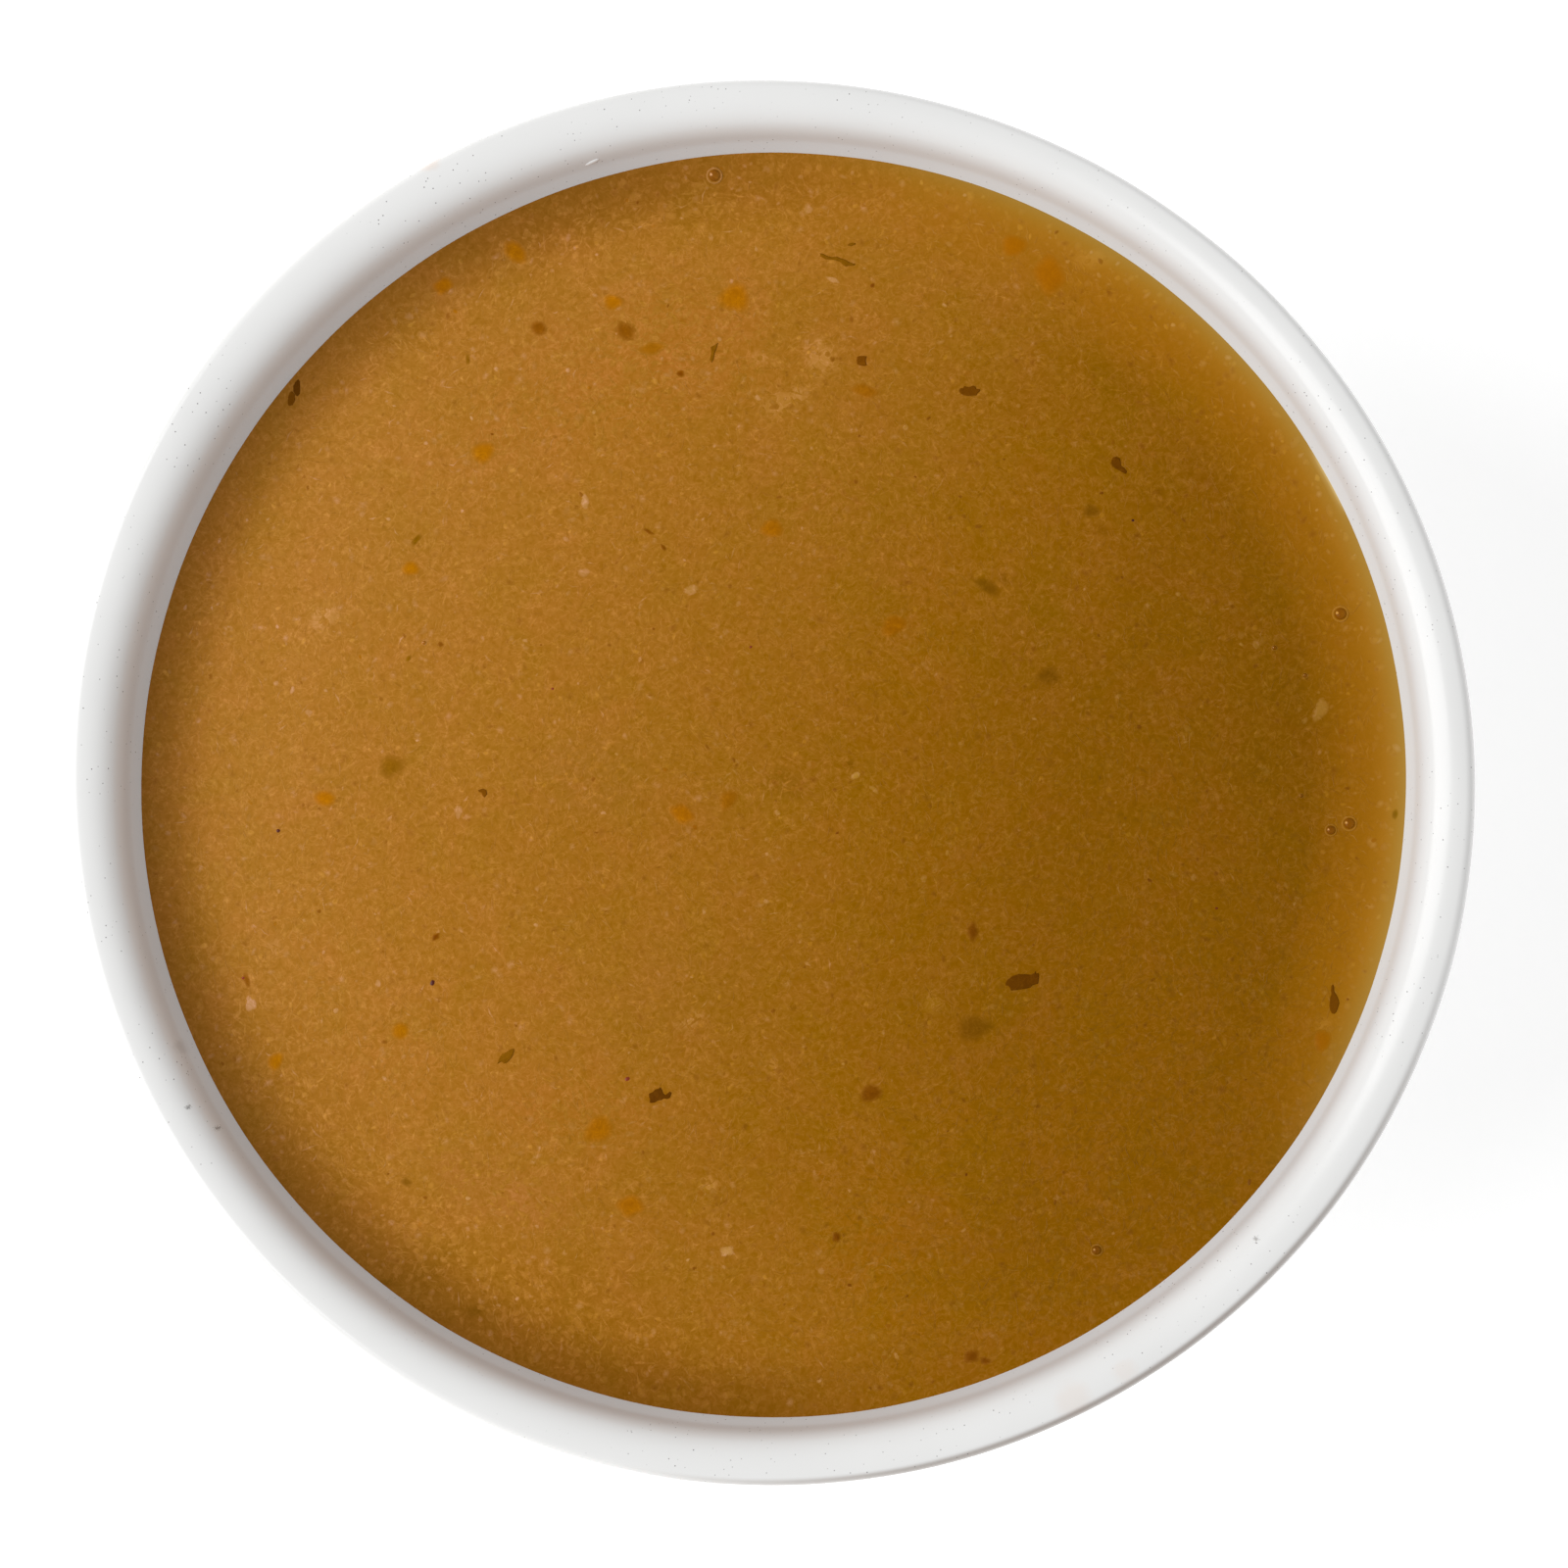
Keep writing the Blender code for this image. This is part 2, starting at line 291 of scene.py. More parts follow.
def lipRun(wallTop, up, down):
    # over the bead, from the inner wall to the neck below it
    f = bowlForm
    lipTop = Vector((f["lipTopRadius"], f["height"]))
    widest = Vector((f["lipRadius"], f["height"] - f["beadDrop"]))
    under = Vector((f["neckRadius"] + f["beadTuck"], widest.y - f["beadUnder"]))
    neck = Vector((f["neckRadius"], under.y - f["neckDrop"]))
    over = Vector((f["lipRadius"] - f["lipTopRadius"], 0)) * f["overPull"]
    tuck = Vector((f["beadTuck"], f["fillet"]))
    side = Vector((0, f["roundness"]))
    return [
        *bezierRun(wallTop, up * f["lipEase"][0], Vector((-f["lipEase"][1], 0)), lipTop, 18),
        *bezierRun(lipTop, over, side * f["beadDrop"], widest, 12),
        *bezierRun(widest, -side * f["beadUnder"], tuck, under, 9),
        *bezierRun(under, -tuck * f["roundness"], -down * f["fillet"], neck, 5),
    ]


def footRun():
    # down the outside of the foot ring, round its two edges and into the hollow
    f = bowlForm
    outer = f["footRadius"] - f["footInset"]
    inner = outer - f["footWidth"]
    rounding = f["footRounding"]
    points = [
        Vector((outer + f["footDraft"] * 2, f["footHeight"] - f["footCove"] * 0.5)),
        Vector((outer + f["footDraft"], f["footHeight"] - f["footCove"])),
    ]
    curve = [(rounding * cos(pi / 8 * k), rounding * sin(pi / 8 * k)) for k in range(5)]
    points += [Vector((outer - rounding + c, rounding - s)) for c, s in curve]
    points += [Vector((inner + rounding - s, rounding - c)) for c, s in curve]
    return points + [
        Vector((inner - rounding * 0.2, f["footHollow"] * 0.7)),
        Vector((inner - rounding, f["footHollow"])),
        Vector((inner * 0.5, f["footHollow"])),
        Vector((0, f["footHollow"])),
    ]


def bowlProfile():
    f = bowlForm
    up = Vector((f["innerLean"], 1)).normalized()
    down = Vector((-f["outerLean"], -1)).normalized()
    points = innerWall(0, 26)
    wallTop = points[-1] + up * f["wallAboveSoup"]
    points += [points[-1].lerp(wallTop, k / 3) for k in range(1, 4)]
    points += lipRun(wallTop, up, down)
    footTop = Vector((f["footRadius"], f["footHeight"]))
    points += bezierRun(points[-1], down * f["outerBelly"], f["footPull"], footTop, 22)
    return points + footRun()


def turnedSurface(profile, around):
    # points and faces of a profile turned about the upright axis; its ends lie on the axis
    turns = np.arange(around) * tau / around
    rows = [np.array([(0.0, 0.0, profile[0].y)])]
    for point in profile[1:-1]:
        heights = np.full(around, point.y)
        rows.append(np.column_stack((point.x * np.cos(turns), point.x * np.sin(turns), heights)))
    rows.append(np.array([(0.0, 0.0, profile[-1].y)]))
    last = 1 + (len(profile) - 3) * around
    faces = []
    for j in range(around):
        k = (j + 1) % around
        faces.append((0, 1 + j, 1 + k))
        faces.append((last + k, last + j, last + around))
        for a in range(1, last, around):
            faces.append((a + j, a + around + j, a + around + k, a + k))
    return np.vstack(rows), faces


def shapeGlaze(places):
    # the lip's slight oval, fading inwards and downwards, and the glaze's soft swells
    f = bowlForm
    x, y, z = places.T
    radius = np.maximum(np.hypot(x, y), mm)
    angle = np.arctan2(y, x)
    inside = f["wettedRadius"] + f["innerLean"] * f["wallAboveSoup"]
    outward = np.clip((radius - inside) / (f["lipRadius"] - inside), 0, 1)
    downward = np.clip(1 - (f["height"] - f["beadDrop"] - z) / f["ovalFade"], 0, 1)
    oval = f["ovalHalf"] * np.cos(2 * (angle - f["ovalFrom"]))
    wave = f["waveHalf"] * np.cos(3 * (angle - f["waveFrom"]))
    ripple = np.array([noise.noise(Vector(p) / f["glazeRippleSize"]) for p in places])
    glazed = np.clip((z - f["footHeight"]) / f["footHeight"], 0, 1)
    shift = outward * downward * (oval + wave) + glazed * ripple * f["glazeRipple"]
    places[:, :2] *= (1 + shift / radius)[:, None]
    return places


beadEdge = {
    # the bead's outer edge, where it turns down: painted light makes it a little brighter
    # all round, and it is darker and warmer towards the lower right
    "start": 64.35 * mm,  # radius
    "full": 64.8 * mm,
    "fadeUnder": (54 * mm, 56 * mm),  # height
    # painted light: the edge a little brighter than the glaze
    "shade": (1.05, 1.045, 1.04),
    "warmShade": (0.48, 0.42, 0.38),
    "warmTowards": 300,  # degrees from +X
    "poolRadius": (59.6 * mm, 61.4 * mm),  # within, painted shade: the inner wall darker and cooler just above the soup
    "poolHeight": (52.5 * mm, 54.0 * mm),  # and only on the inside, above this
    "poolShade": (0.935, 0.965, 1),
}


def paintedGlazeLight(places):
    # painted light and shade: factors on the glaze's colour at each point
    b = beadEdge
    x, y, z = places.T
    edgeBand = smoothStep(b["start"], b["full"], np.hypot(x, y)) * smoothStep(*b["fadeUnder"], z)
    facing = np.cos(np.arctan2(y, x) - radians(b["warmTowards"]))
    warm = smoothStep(0.7, 1.05, facing)[:, None]
    shade = np.array(b["shade"]) * (1 - warm) + np.array(b["warmShade"]) * warm
    # painted shade on the inner wall just above the soup, cooled against the warm light the soup
    # throws on it
    wallShadowed = smoothStep(b["poolRadius"][1], b["poolRadius"][0], np.hypot(x, y))
    wallShadowed *= smoothStep(*b["poolHeight"], z)
    wallShadow = 1 - wallShadowed[:, None] * (1 - np.array(b["poolShade"]))
    return wallShadow * (1 - edgeBand[:, None] * (1 - shade))


glazeLook = {
    "whites": ("#EAEAE9", "#F1F1F0"),
    "cloudSize": 14,  # millimetres, as all sizes here
    "pinholeCell": 0.7,  # one pinhole in each cell at most
    "pinholeRadius": 0.08,
    "pinholeCore": 0.4,  # share of its radius that is fully dark
    "pinholeColour": "#5F5A58",
    "crowdSize": 12,  # pinholes crowd in places of this size
    "crowdRange": (0.39, 0.60),  # of the noise that spreads them
    "stainHeight": (55.0, 56.5),  # stains fade out below the lip
    "clay": "#D8CBB4",
    "bareHeight": (0.2, 0.35),  # the ring that stands on the table is wiped clean
    "bareRoughness": 0.85,
    "smearSize": 6,
    "roughness": (0.17, 0.24),
}

glazeStains = [
    # x, y and size in millimetres, colour, strength
    (-31.3, 57.6, 1.3, "#E9B48A", 0.2), (28.3, -57.2, 2.2, "#E8C2A4", 0.14),
    (33.0, -54.6, 1.5, "#E8C2A4", 0.12), (-54.4, -24.6, 1.0, "#8F8A86", 0.2),
    (-53.5, -30.4, 0.35, "#6E6A68", 0.7), (-51.0, -32.3, 0.3, "#6E6A68", 0.7),
    (45.0, -42.6, 0.35, "#8B8580", 0.6),
]


def makeGlaze():
    # Stoneware, thrown and dipped in an opaque tin-white glaze, fired glassy: a bright cool
    # white with a soft window sheen, tiny dark pinholes and a few faint stains.
    g = glazeLook
    surface = {"IOR": 1.5, "Specular IOR Level": 0.5}
    material, tree, shader = newMaterial("whiteGlazedStoneware", surface)
    add = partial(addNode, tree)
    place = placeInMillimetres(tree)
    cloud = add("TexNoise", {"Vector": place, "Scale": 1 / g["cloudSize"], "Detail": 3})
    dull, bright = g["whites"]
    colour = add("Mix", {0: cloud, 6: dull, 7: bright}, data_type="RGBA")

    cells = add("TexVoronoi", {"Vector": place, "Scale": 1 / g["pinholeCell"]})
    radius = g["pinholeRadius"] / g["pinholeCell"]
    pinhole = add("MapRange", {0: cells, 1: radius, 2: radius * g["pinholeCore"]})
    crowds = add("TexNoise", {"Vector": place, "Scale": 1 / g["crowdSize"], "Detail": 1})
    low, high = g["crowdRange"]
    crowd = add("MapRange", {0: crowds, 1: low, 2: high})
    amount = add("Math", {0: pinhole, 1: crowd}, operation="MULTIPLY")
    colour = add("Mix", {0: amount, 6: colour, 7: g["pinholeColour"]}, data_type="RGBA")

    flat = add("VectorMath", {0: place, 1: (1, 1, 0)}, operation="MULTIPLY")
    height = add("SeparateXYZ", {0: place}, out="Z")
    low, high = g["stainHeight"]
    onLip = add("MapRange", {0: height, 1: low, 2: high})
    for x, y, size, stainColour, strength in glazeStains:
        away = add("VectorMath", {0: flat, 1: (x, y, 0)}, operation="DISTANCE")
        ragged = add("TexNoise", {"Vector": place, "Scale": 2 / size, "Detail": 3})
        reach = add("Math", {0: away, 1: ragged})
        fade = {0: reach, 1: size + 0.5, 2: size * 0.4 + 0.4, 4: strength}
        stain = add("MapRange", fade, interpolation_type="SMOOTHSTEP")
        cover = add("Math", {0: stain, 1: onLip}, operation="MULTIPLY")
        colour = add("Mix", {0: cover, 6: colour, 7: stainColour}, data_type="RGBA")

    low, high = g["bareHeight"]
    bare = add("MapRange", {0: height, 1: high, 2: low})
    colour = add("Mix", {0: bare, 6: colour, 7: g["clay"]}, data_type="RGBA")
    # painted light and shade held on the bowl's mesh: the bead's edge and the wall above the soup
    shade = add("Attribute", attribute_name="shade")
    colour = add("Mix", {0: 1.0, 6: colour, 7: shade}, data_type="RGBA", blend_type="MULTIPLY")
    tree.links.new(colour, shader.inputs["Base Color"])

    smear = add("TexNoise", {"Vector": place, "Scale": 1 / g["smearSize"], "Detail": 2})
    glossy, duller = g["roughness"]
    gloss = add("MapRange", {0: smear, **noiseSpan, 3: glossy, 4: duller})
    dry = add("Math", {0: bare, 1: g["bareRoughness"]}, operation="MULTIPLY")
    rough = add("Math", {0: gloss, 1: dry}, operation="MAXIMUM")
    tree.links.new(rough, shader.inputs["Roughness"])
    return material


glazeBlister = {
    "angle": 105.8,  # degrees from +X
    "radius": 60.1 * mm,
    "length": 1.6 * mm,
    "width": 0.6 * mm,
    "turn": 20,  # degrees it climbs
    "rise": 0.16 * mm,
    "sunk": 0.3,  # share of the rise
}


def makeBowl():
    glaze = makeGlaze()
    profile = bowlProfile()
    places, faces = turnedSurface(profile, bowlForm["pointsAround"])
    shade = paintedGlazeLight(places)
    bowl = addPiece("bowl_glazed", shapeGlaze(places).tolist(), faces, glaze, shade)
    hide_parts("bowl")

    # a drip that set as a small lens on the inner slope of the lip
    b = glazeBlister
    below, above = next(
        (p, q) for p, q in zip(profile, profile[1:]) if p.x <= b["radius"] <= q.x and p.y > 50 * mm
    )
    along = direction(b["angle"] + 90)
    outward = direction(b["angle"])
    slope = (above - below).normalized()
    climb = outward * slope.x + Vector((0, 0, slope.y))
    normal = climb.cross(along).normalized()
    height = below.lerp(above, (b["radius"] - below.x) / (above.x - below.x)).y
    middle = outward * b["radius"] + Vector((0, 0, height)) - normal * b["rise"] * b["sunk"]
    steps = 16
    half = [Vector((sin(t * pi / steps), cos(t * pi / steps))) for t in range(steps + 1)]
    lens, lensFaces = turnedSurface(half, steps * 2)
    turn = radians(b["turn"])
    long = -along * cos(turn) + climb * sin(turn)
    wide = normal.cross(long)
    shape = Matrix((long * b["length"] / 2, wide * b["width"] / 2, normal * b["rise"])).transposed()
    vertices = [tuple(middle + shape @ Vector(p)) for p in lens.tolist()]
    addPiece("glaze_blister", vertices, lensFaces, glaze, np.ones((len(vertices), 3)))


makeBowl()
print("bowl made")


# The soup: a closed body up to its level, its edge drawn up the wall

soupForm = {
    "rings": 165,  # rings of points across the surface, about a third of a millimetre apart
    "intoWall": 0.12 * mm,
    "level": 53.1 * mm,
    "meniscusRise": 0.95 * mm,
    "meniscusWidth": 2.0 * mm,  # it falls to a third over this
    "swell": 0.05 * mm,  # soft lumps of pulp under the surface
    "swellSize": 7 * mm,
    "grainSize": 0.7,  # millimetres
    "grainDepth": 0.03 * mm,
}

# What each kind of bit does to the soup's own colour: it multiplies red, green and blue
shades = {
    "carrot": (1.05, 0.88, 0), "ochre": (0.92, 0.8, 0.1),
    "green": (0.67, 0.65, 0.1), "brown": (0.65, 0.5, 0.04),
    "leaf": (0.5, 0.4, 0.05), "darkLeaf": (0.36, 0.28, 0.05),
    "greenLeaf": (0.58, 0.55, 0.06), "seed": (0.2, 0.05, 0.1),
    "redSeed": (0.62, 0.18, 0.3), "pale": (1.27, 1.4, 2.5),
    "rose": (1.36, 1.62, 4.5), "husk": (1.24, 1.33, 1.45),
    "gap": (0.84, 0.81, 0.55), "warm": (1.05, 1.0, 1.1),
    "rosy": (1.05, 1.01, 1.5), "olive": (0.95, 0.99, 0.85),
    # deep, in the long patches along the wall, stands for painted shade
    "cool": (0.96, 1.0, 1.25), "deep": (0.92, 0.91, 0.75),
    "light": (1.07, 1.07, 1.02), "collar": (1.34, 1.56, 3.6),
}

soupPatches = [
    # x, y, length, width (millimetres), turn (degrees), shade, strength: broad drifts of pulp,
    # and painted shade along the wall
    (-15.5, 36.7, 30.2, 11, 20, "warm", 0.8), (-31, 45.8, 15.5, 11, 10, "warm", 0.2),
    (-9.1, 43.1, 14.6, 8.2, 0, "warm", 0.6), (7.4, 27.5, 17.4, 9.1, 0, "olive", 0.8),
    (24.3, 14.7, 8.2, 10.1, 0, "olive", 0.8), (11.2, 19.1, 4.6, 5.5, 0, "olive", 0.8),
    (1.9, 0.1, 11, 6.4, 20, "olive", 0.8), (6.8, -15.4, 5.5, 8.2, 0, "olive", 0.6),
    (-29.2, 1, 18.3, 20.1, 0, "olive", 0.35), (-16.4, 1, 10.1, 7.3, 0, "cool", 0.7),
    (-9.1, -20, 14.6, 11, 0, "cool", 0.5), (-18, -31, 11.9, 7.3, 0, "warm", 0.9),
    (10.1, -42.9, 10.1, 10.1, 0, "warm", 0.6), (45.8, 5.6, 10.1, 17.4, 0, "deep", 0.7),
    (37.5, -2.7, 9.1, 9.1, 0, "warm", 0.4), (34.6, 33, 11, 9.1, 0, "olive", 0.9),
    (23.8, 36.7, 18.3, 6.4, 0, "deep", 0.6), (40.3, 29.3, 12.8, 5.5, 20, "deep", 0.5),
    (-34.7, -25.5, 10.1, 8.2, 0, "warm", 0.5), (-24.6, -38.3, 12.8, 5.5, -25, "rosy", 0.7),
    (-42, -19.1, 9.1, 13.7, 0, "warm", 0.3), (14.7, 14.7, 5.5, 13.7, 0, "warm", 0.35),
    (15.6, -5.4, 5.5, 11, 0, "warm", 0.35), (21.1, -36.5, 8.2, 5.5, 0, "olive", 0.6),
    # the long, thin deep rows along the wall, at the lower left and at the top, are painted shade
    (24.7, -42, 11, 5.5, 0, "deep", 0.4), (-43, -31, 34, 10, -54, "deep", 1),
    (-20, -50, 38, 10, -22, "deep", 1.4), (-8, 55.5, 50, 8, 8, "deep", 1.2),
    (-27, 45.5, 26, 8, 30, "deep", 0.8), (30, -33, 52, 26, 42, "light", 0.9),
]

soupClouds = [
    # the same columns: pale clots of pulp and scraps of herb that lie under the surface
    (-41.9, 15.7, 2.7, 2.2, 30, "pale", 1), (1, 35.5, 3.7, 2, 20, "pale", 0.9),
    (4.8, 39.8, 2.7, 3.1, 0, "pale", 1), (3.4, 36.3, 1.8, 1.6, 0, "pale", 0.6),
    (-0.9, 39.9, 1.5, 1.1, 0, "pale", 0.7), (-7.4, -22.3, 2.2, 1.3, 30, "pale", 1.1),
    (0.3, -26.7, 1.5, 1.6, 0, "pale", 1), (15.1, -20.6, 1.6, 2, 0, "pale", 0.8),
    (-46.6, -15.4, 1.6, 1.6, 20, "pale", 0.6), (-5.8, -37.5, 1.6, 1.1, -25, "pale", 1.3),
    (51.2, -22.9, 1.3, 1.6, 0, "pale", 0.6), (30.2, 48.7, 3.1, 1.5, 0, "pale", 0.5),
    (1.3, -0.2, 3.7, 2.4, -10, "green", 0.35), (7.4, 1.6, 1.1, 0.7, -20, "green", 0.7),
    (-27.4, -49.2, 1.5, 0.9, 20, "green", 0.6), (-35.7, -46.8, 1.5, 0.9, 0, "green", 0.5),
    (22, 18.8, 1.3, 1.1, 0, "green", 0.5), (31, 23.3, 1.5, 0.9, -30, "green", 0.35),
    (36, 26.8, 1.3, 0.7, 0, "brown", 0.4),
]

soupFilm = {
    # painted highlight: a bright sliver where the soup clings to the lit wall
    "angle": 28,
    "spread": 4,
    "width": 0.3 * mm,
    "shade": (1.8, 2.4, 6),
}


def soupHeight(x, y):
    s = soupForm
    climb = exp((hypot(x, y) - bowlForm["wettedRadius"]) / s["meniscusWidth"])
    lumps = noise.noise(Vector((x, y, 0)) / s["swellSize"]) * s["swell"]
    return s["level"] + s["meniscusRise"] * climb + lumps * (1 - climb)


def soupSurface(edge):
    # ring k holds 6k points, so that the surface is evenly fine
    rings = soupForm["rings"]
    vertices = [(0.0, 0.0, soupHeight(0, 0))]
    faces = []
    inner = 0
    for ring in range(1, rings + 1):
        outer = len(vertices)
        radius = edge * ring / rings
        for step in range(6 * ring):
            turn = step * tau / (6 * ring)
            x, y = radius * cos(turn), radius * sin(turn)
            vertices.append((x, y, soupHeight(x, y)))
        outerCount, innerCount = 6 * ring, max(1, 6 * (ring - 1))
        for side in range(6):
            for step in range(ring):
                a = outer + (side * ring + step) % outerCount
                b = outer + (side * ring + step + 1) % outerCount
                c = inner + (side * (ring - 1) + step) % innerCount
                faces.append((c, a, b))
                if step < ring - 1:
                    faces.append((c, b, inner + (side * (ring - 1) + step + 1) % innerCount))
        inner = outer
    return vertices, faces


def soupBody():
    s = soupForm
    vertices, faces = soupSurface(bowlForm["wettedRadius"] + s["intoWall"])
    around = 6 * s["rings"]
    previous = len(vertices) - around
    for point in reversed(innerWall(s["intoWall"], 6)[2:-1]):
        start = len(vertices)
        for step in range(around):
            turn = step * tau / around
            vertices.append((point.x * cos(turn), point.x * sin(turn), point.y))
        for step in range(around):
            k = (step + 1) % around
            faces.append((previous + step, start + step, start + k, previous + k))
        previous = start
    vertices.append((0, 0, bowlForm["floorHeight"] - s["intoWall"]))
    for step in range(around):
        faces.append((previous + step, len(vertices) - 1, previous + (step + 1) % around))
    return vertices, faces


def bodyShade(vertices):
    # the drifts, clots, painted shade along the wall and the painted highlight on the film,
    # as factors on the soup's colour at each point
    x, y = np.array(vertices)[:, :2].T / mm
    ragged = np.array([noise.noise(Vector((v[0], v[1], 0.3)) / (0.9 * mm)) for v in vertices])
    broken = np.array([noise.noise(Vector((v[0], v[1], 0.7)) / (4 * mm)) for v in vertices])
    shade = np.ones((len(vertices), 3))
    for rows, softness, edge in ((soupPatches, 0.75, broken), (soupClouds, 0.5, ragged)):
        for px, py, length, width, turn, name, strength in rows:
            c, s = cos(radians(turn)), sin(radians(turn))
            along = ((x - px) * c + (y - py) * s) * 2 / length
            across = ((y - py) * c - (x - px) * s) * 2 / width
            away = np.hypot(along, across) + edge * 0.5
            cover = strength * smoothStep(1 + softness, 1 - softness, away)
            shade *= 1 + cover[:, None] * (np.array(shades[name]) - 1)
    # painted highlight where the soup clings to the wall
    f = soupFilm
    turned = np.abs(np.degrees(np.arctan2(y, x)) - f["angle"]) / f["spread"]
    near = (np.hypot(x, y) * mm - bowlForm["wettedRadius"]) / f["width"] + 1
    cover = np.clip(near, 0, 1) * smoothStep(1, 0.3, turned)
    return shade * (1 + cover[:, None] * (np.array(f["shade"]) - 1))


soupColours = {
    # from the right of the bowl to the left, lighter and paler towards the key light:
    # partly the soup's own colour, partly painted light and sheen
    "run": (
        (0.08, "#825301"), (0.27, "#895704"), (0.42, "#95600B"), (0.58, "#A16919"),
        (0.73, "#A96F20"), (0.90, "#AF7529"),
    ),
    "runTowards": 166,  # degrees from +X
    "drift": 16,  # how far the run wanders, millimetres
    "driftSize": 26,
    "mottleSize": 5.5,
    "mottleHue": 0.003,
    "mottleValue": 0.05,
    "pulpSize": 0.6,
    "pulpValue": 0.12,
    "paling": 0.14,  # how much saturation a brighter spot loses
    "strandSize": 1.3,
    "strandWidth": 0.035,  # share of the noise's range
    "strandValue": (0.99, 1.16),  # beside a strand and on it
    "clotBlue": 0.004,  # what white root adds to the blue, where the soup has next to none
    "bow": 0.006,  # how the run bends at its sides, over millimetres
    # from so far in to the wall, round one side of the bowl: the yellow of thin soup over the
    # white wall, with painted light, as it shows only on the side across from the key light
    "shallow": (
        (0.44, "#A96C0E"), (0.64, "#A66C11"), (0.80, "#A97219"), (0.90, "#A87822"),
        (1.00, "#A88033"),
    ),
    "shallowWidth": 9,
    "shallowTowards": 25,  # degrees from +X
    "shallowTurn": (0.4, 0.8),  # cosines of the turn from there
    # painted shadow of the lip: round the other side, towards the key light, the soup
    # darkens towards the wall
    "deepShade": "#DEDAD6",
    "deepWidth": 7,
    "deepInset": 1.5,
    "deepTowards": 185,
    "deepTurn": (-0.35, 0.25),
}


def addRamp(tree, place, stops):
    ramp = addNode(tree, "ValToRGB", {"Fac": place})
    points = ramp.node.color_ramp.elements
    while len(points) < len(stops):
        points.new(0.5)
    for point, (position, code) in zip(points, stops):
        point.position = position
        point.color = fromHex(code)
    return ramp


def soupColour(tree, place):
    # The soup's colour at a place: a broad run from side to side with painted light towards
    # the left, olive and orange mottles, fine pulp, a yellow edge where the white wall shows
    # through thin soup, painted lit on one side only, and a painted lip shadow on the other.
    c = soupColours
    add = partial(addNode, tree)
    flat = add("VectorMath", {0: place, 1: (1, 1, 0)}, operation="MULTIPLY")
    ahead, sideways = direction(c["runTowards"]), direction(c["runTowards"] - 90)
    along = add("VectorMath", {0: flat, 1: ahead}, operation="DOT_PRODUCT")
    aside = add("VectorMath", {0: flat, 1: sideways}, operation="DOT_PRODUCT")
    bow = add("Math", {0: aside, 1: aside}, operation="MULTIPLY")
    along = add("Math", {0: bow, 1: c["bow"], 2: along}, operation="MULTIPLY_ADD")
    drift = add("TexNoise", {"Vector": flat, "Scale": 1 / c["driftSize"], "Detail": 3})
    bent = add("Math", {0: drift, 1: c["drift"], 2: along}, operation="MULTIPLY_ADD")
    edge = bowlForm["wettedRadius"] / mm
    middle = c["drift"] / 2
    run = addRamp(tree, add("MapRange", {0: bent, 1: middle - edge, 2: middle + edge}), c["run"])

    fine = {"Vector": flat, "Detail": 4, "Roughness": 0.6}
    mottle = add("TexNoise", {**fine, "Scale": 1 / c["mottleSize"], "Distortion": 0.6})
    pulp = add("TexNoise", {**fine, "Scale": 1 / c["pulpSize"], "Distortion": 0.8})
    limp = {"Vector": flat, "Detail": 2, "Distortion": 1.4}
    strand = add("TexNoise", {**limp, "Scale": 1 / c["strandSize"]})
    crest = add("Math", {0: strand, 1: 0.5}, operation="PINGPONG")
    gap, ridge = c["strandValue"]
    strands = add("MapRange", {0: crest, 1: 0.5 - c["strandWidth"], 2: 0.5, 3: gap, 4: ridge})
    hue, mottled, pulpy = (
        add("MapRange", {0: source, **noiseSpan, 3: mean - half, 4: mean + half}, clamp=False)
        for source, mean, half in (
            (mottle, 0.5, c["mottleHue"]),
            (mottle, 1, -c["mottleValue"]),
            (pulp, 1, c["pulpValue"]),
        )
    )
    value = add("Math", {0: mottled, 1: pulpy}, operation="MULTIPLY")
    value = add("Math", {0: value, 1: strands}, operation="MULTIPLY")
    paling = {0: value, 1: -c["paling"], 2: 1 + c["paling"]}
    strong = add("Math", paling, operation="MULTIPLY_ADD")
    toned = add("HueSaturation", {"Color": run, "Hue": hue, "Saturation": strong, "Value": value})

    radius = add("VectorMath", {0: flat}, operation="LENGTH")
    outward = add("VectorMath", {0: flat}, operation="NORMALIZE")
    # the thin soup's yellow edge, painted lit on the side across from the key light only
    shallow = add("MapRange", {0: radius, 1: edge - c["shallowWidth"], 2: edge})
    edgeBand = addRamp(tree, shallow, c["shallow"])
    # painted shadow that the lip throws on the soup, on the side of the key light
    inwards = {0: radius, 1: edge - c["deepWidth"], 2: edge - c["deepInset"]}
    near = add("MapRange", inwards, interpolation_type="SMOOTHSTEP")
    amounts = []
    for side, depth in (("shallow", shallow), ("deep", near)):
        towards = direction(c[side + "Towards"])
        facing = add("VectorMath", {0: outward, 1: towards}, operation="DOT_PRODUCT")
        low, high = c[side + "Turn"]
        turned = add("MapRange", {0: facing, 1: low, 2: high}, interpolation_type="SMOOTHSTEP")
        amounts.append(add("Math", {0: depth, 1: turned}, operation="MULTIPLY"))
    edged = add("Mix", {0: amounts[0], 6: toned, 7: edgeBand}, data_type="RGBA")
    lipShadowed = {0: amounts[1], 6: edged, 7: c["deepShade"]}
    return add("Mix", lipShadowed, data_type="RGBA", blend_type="MULTIPLY")


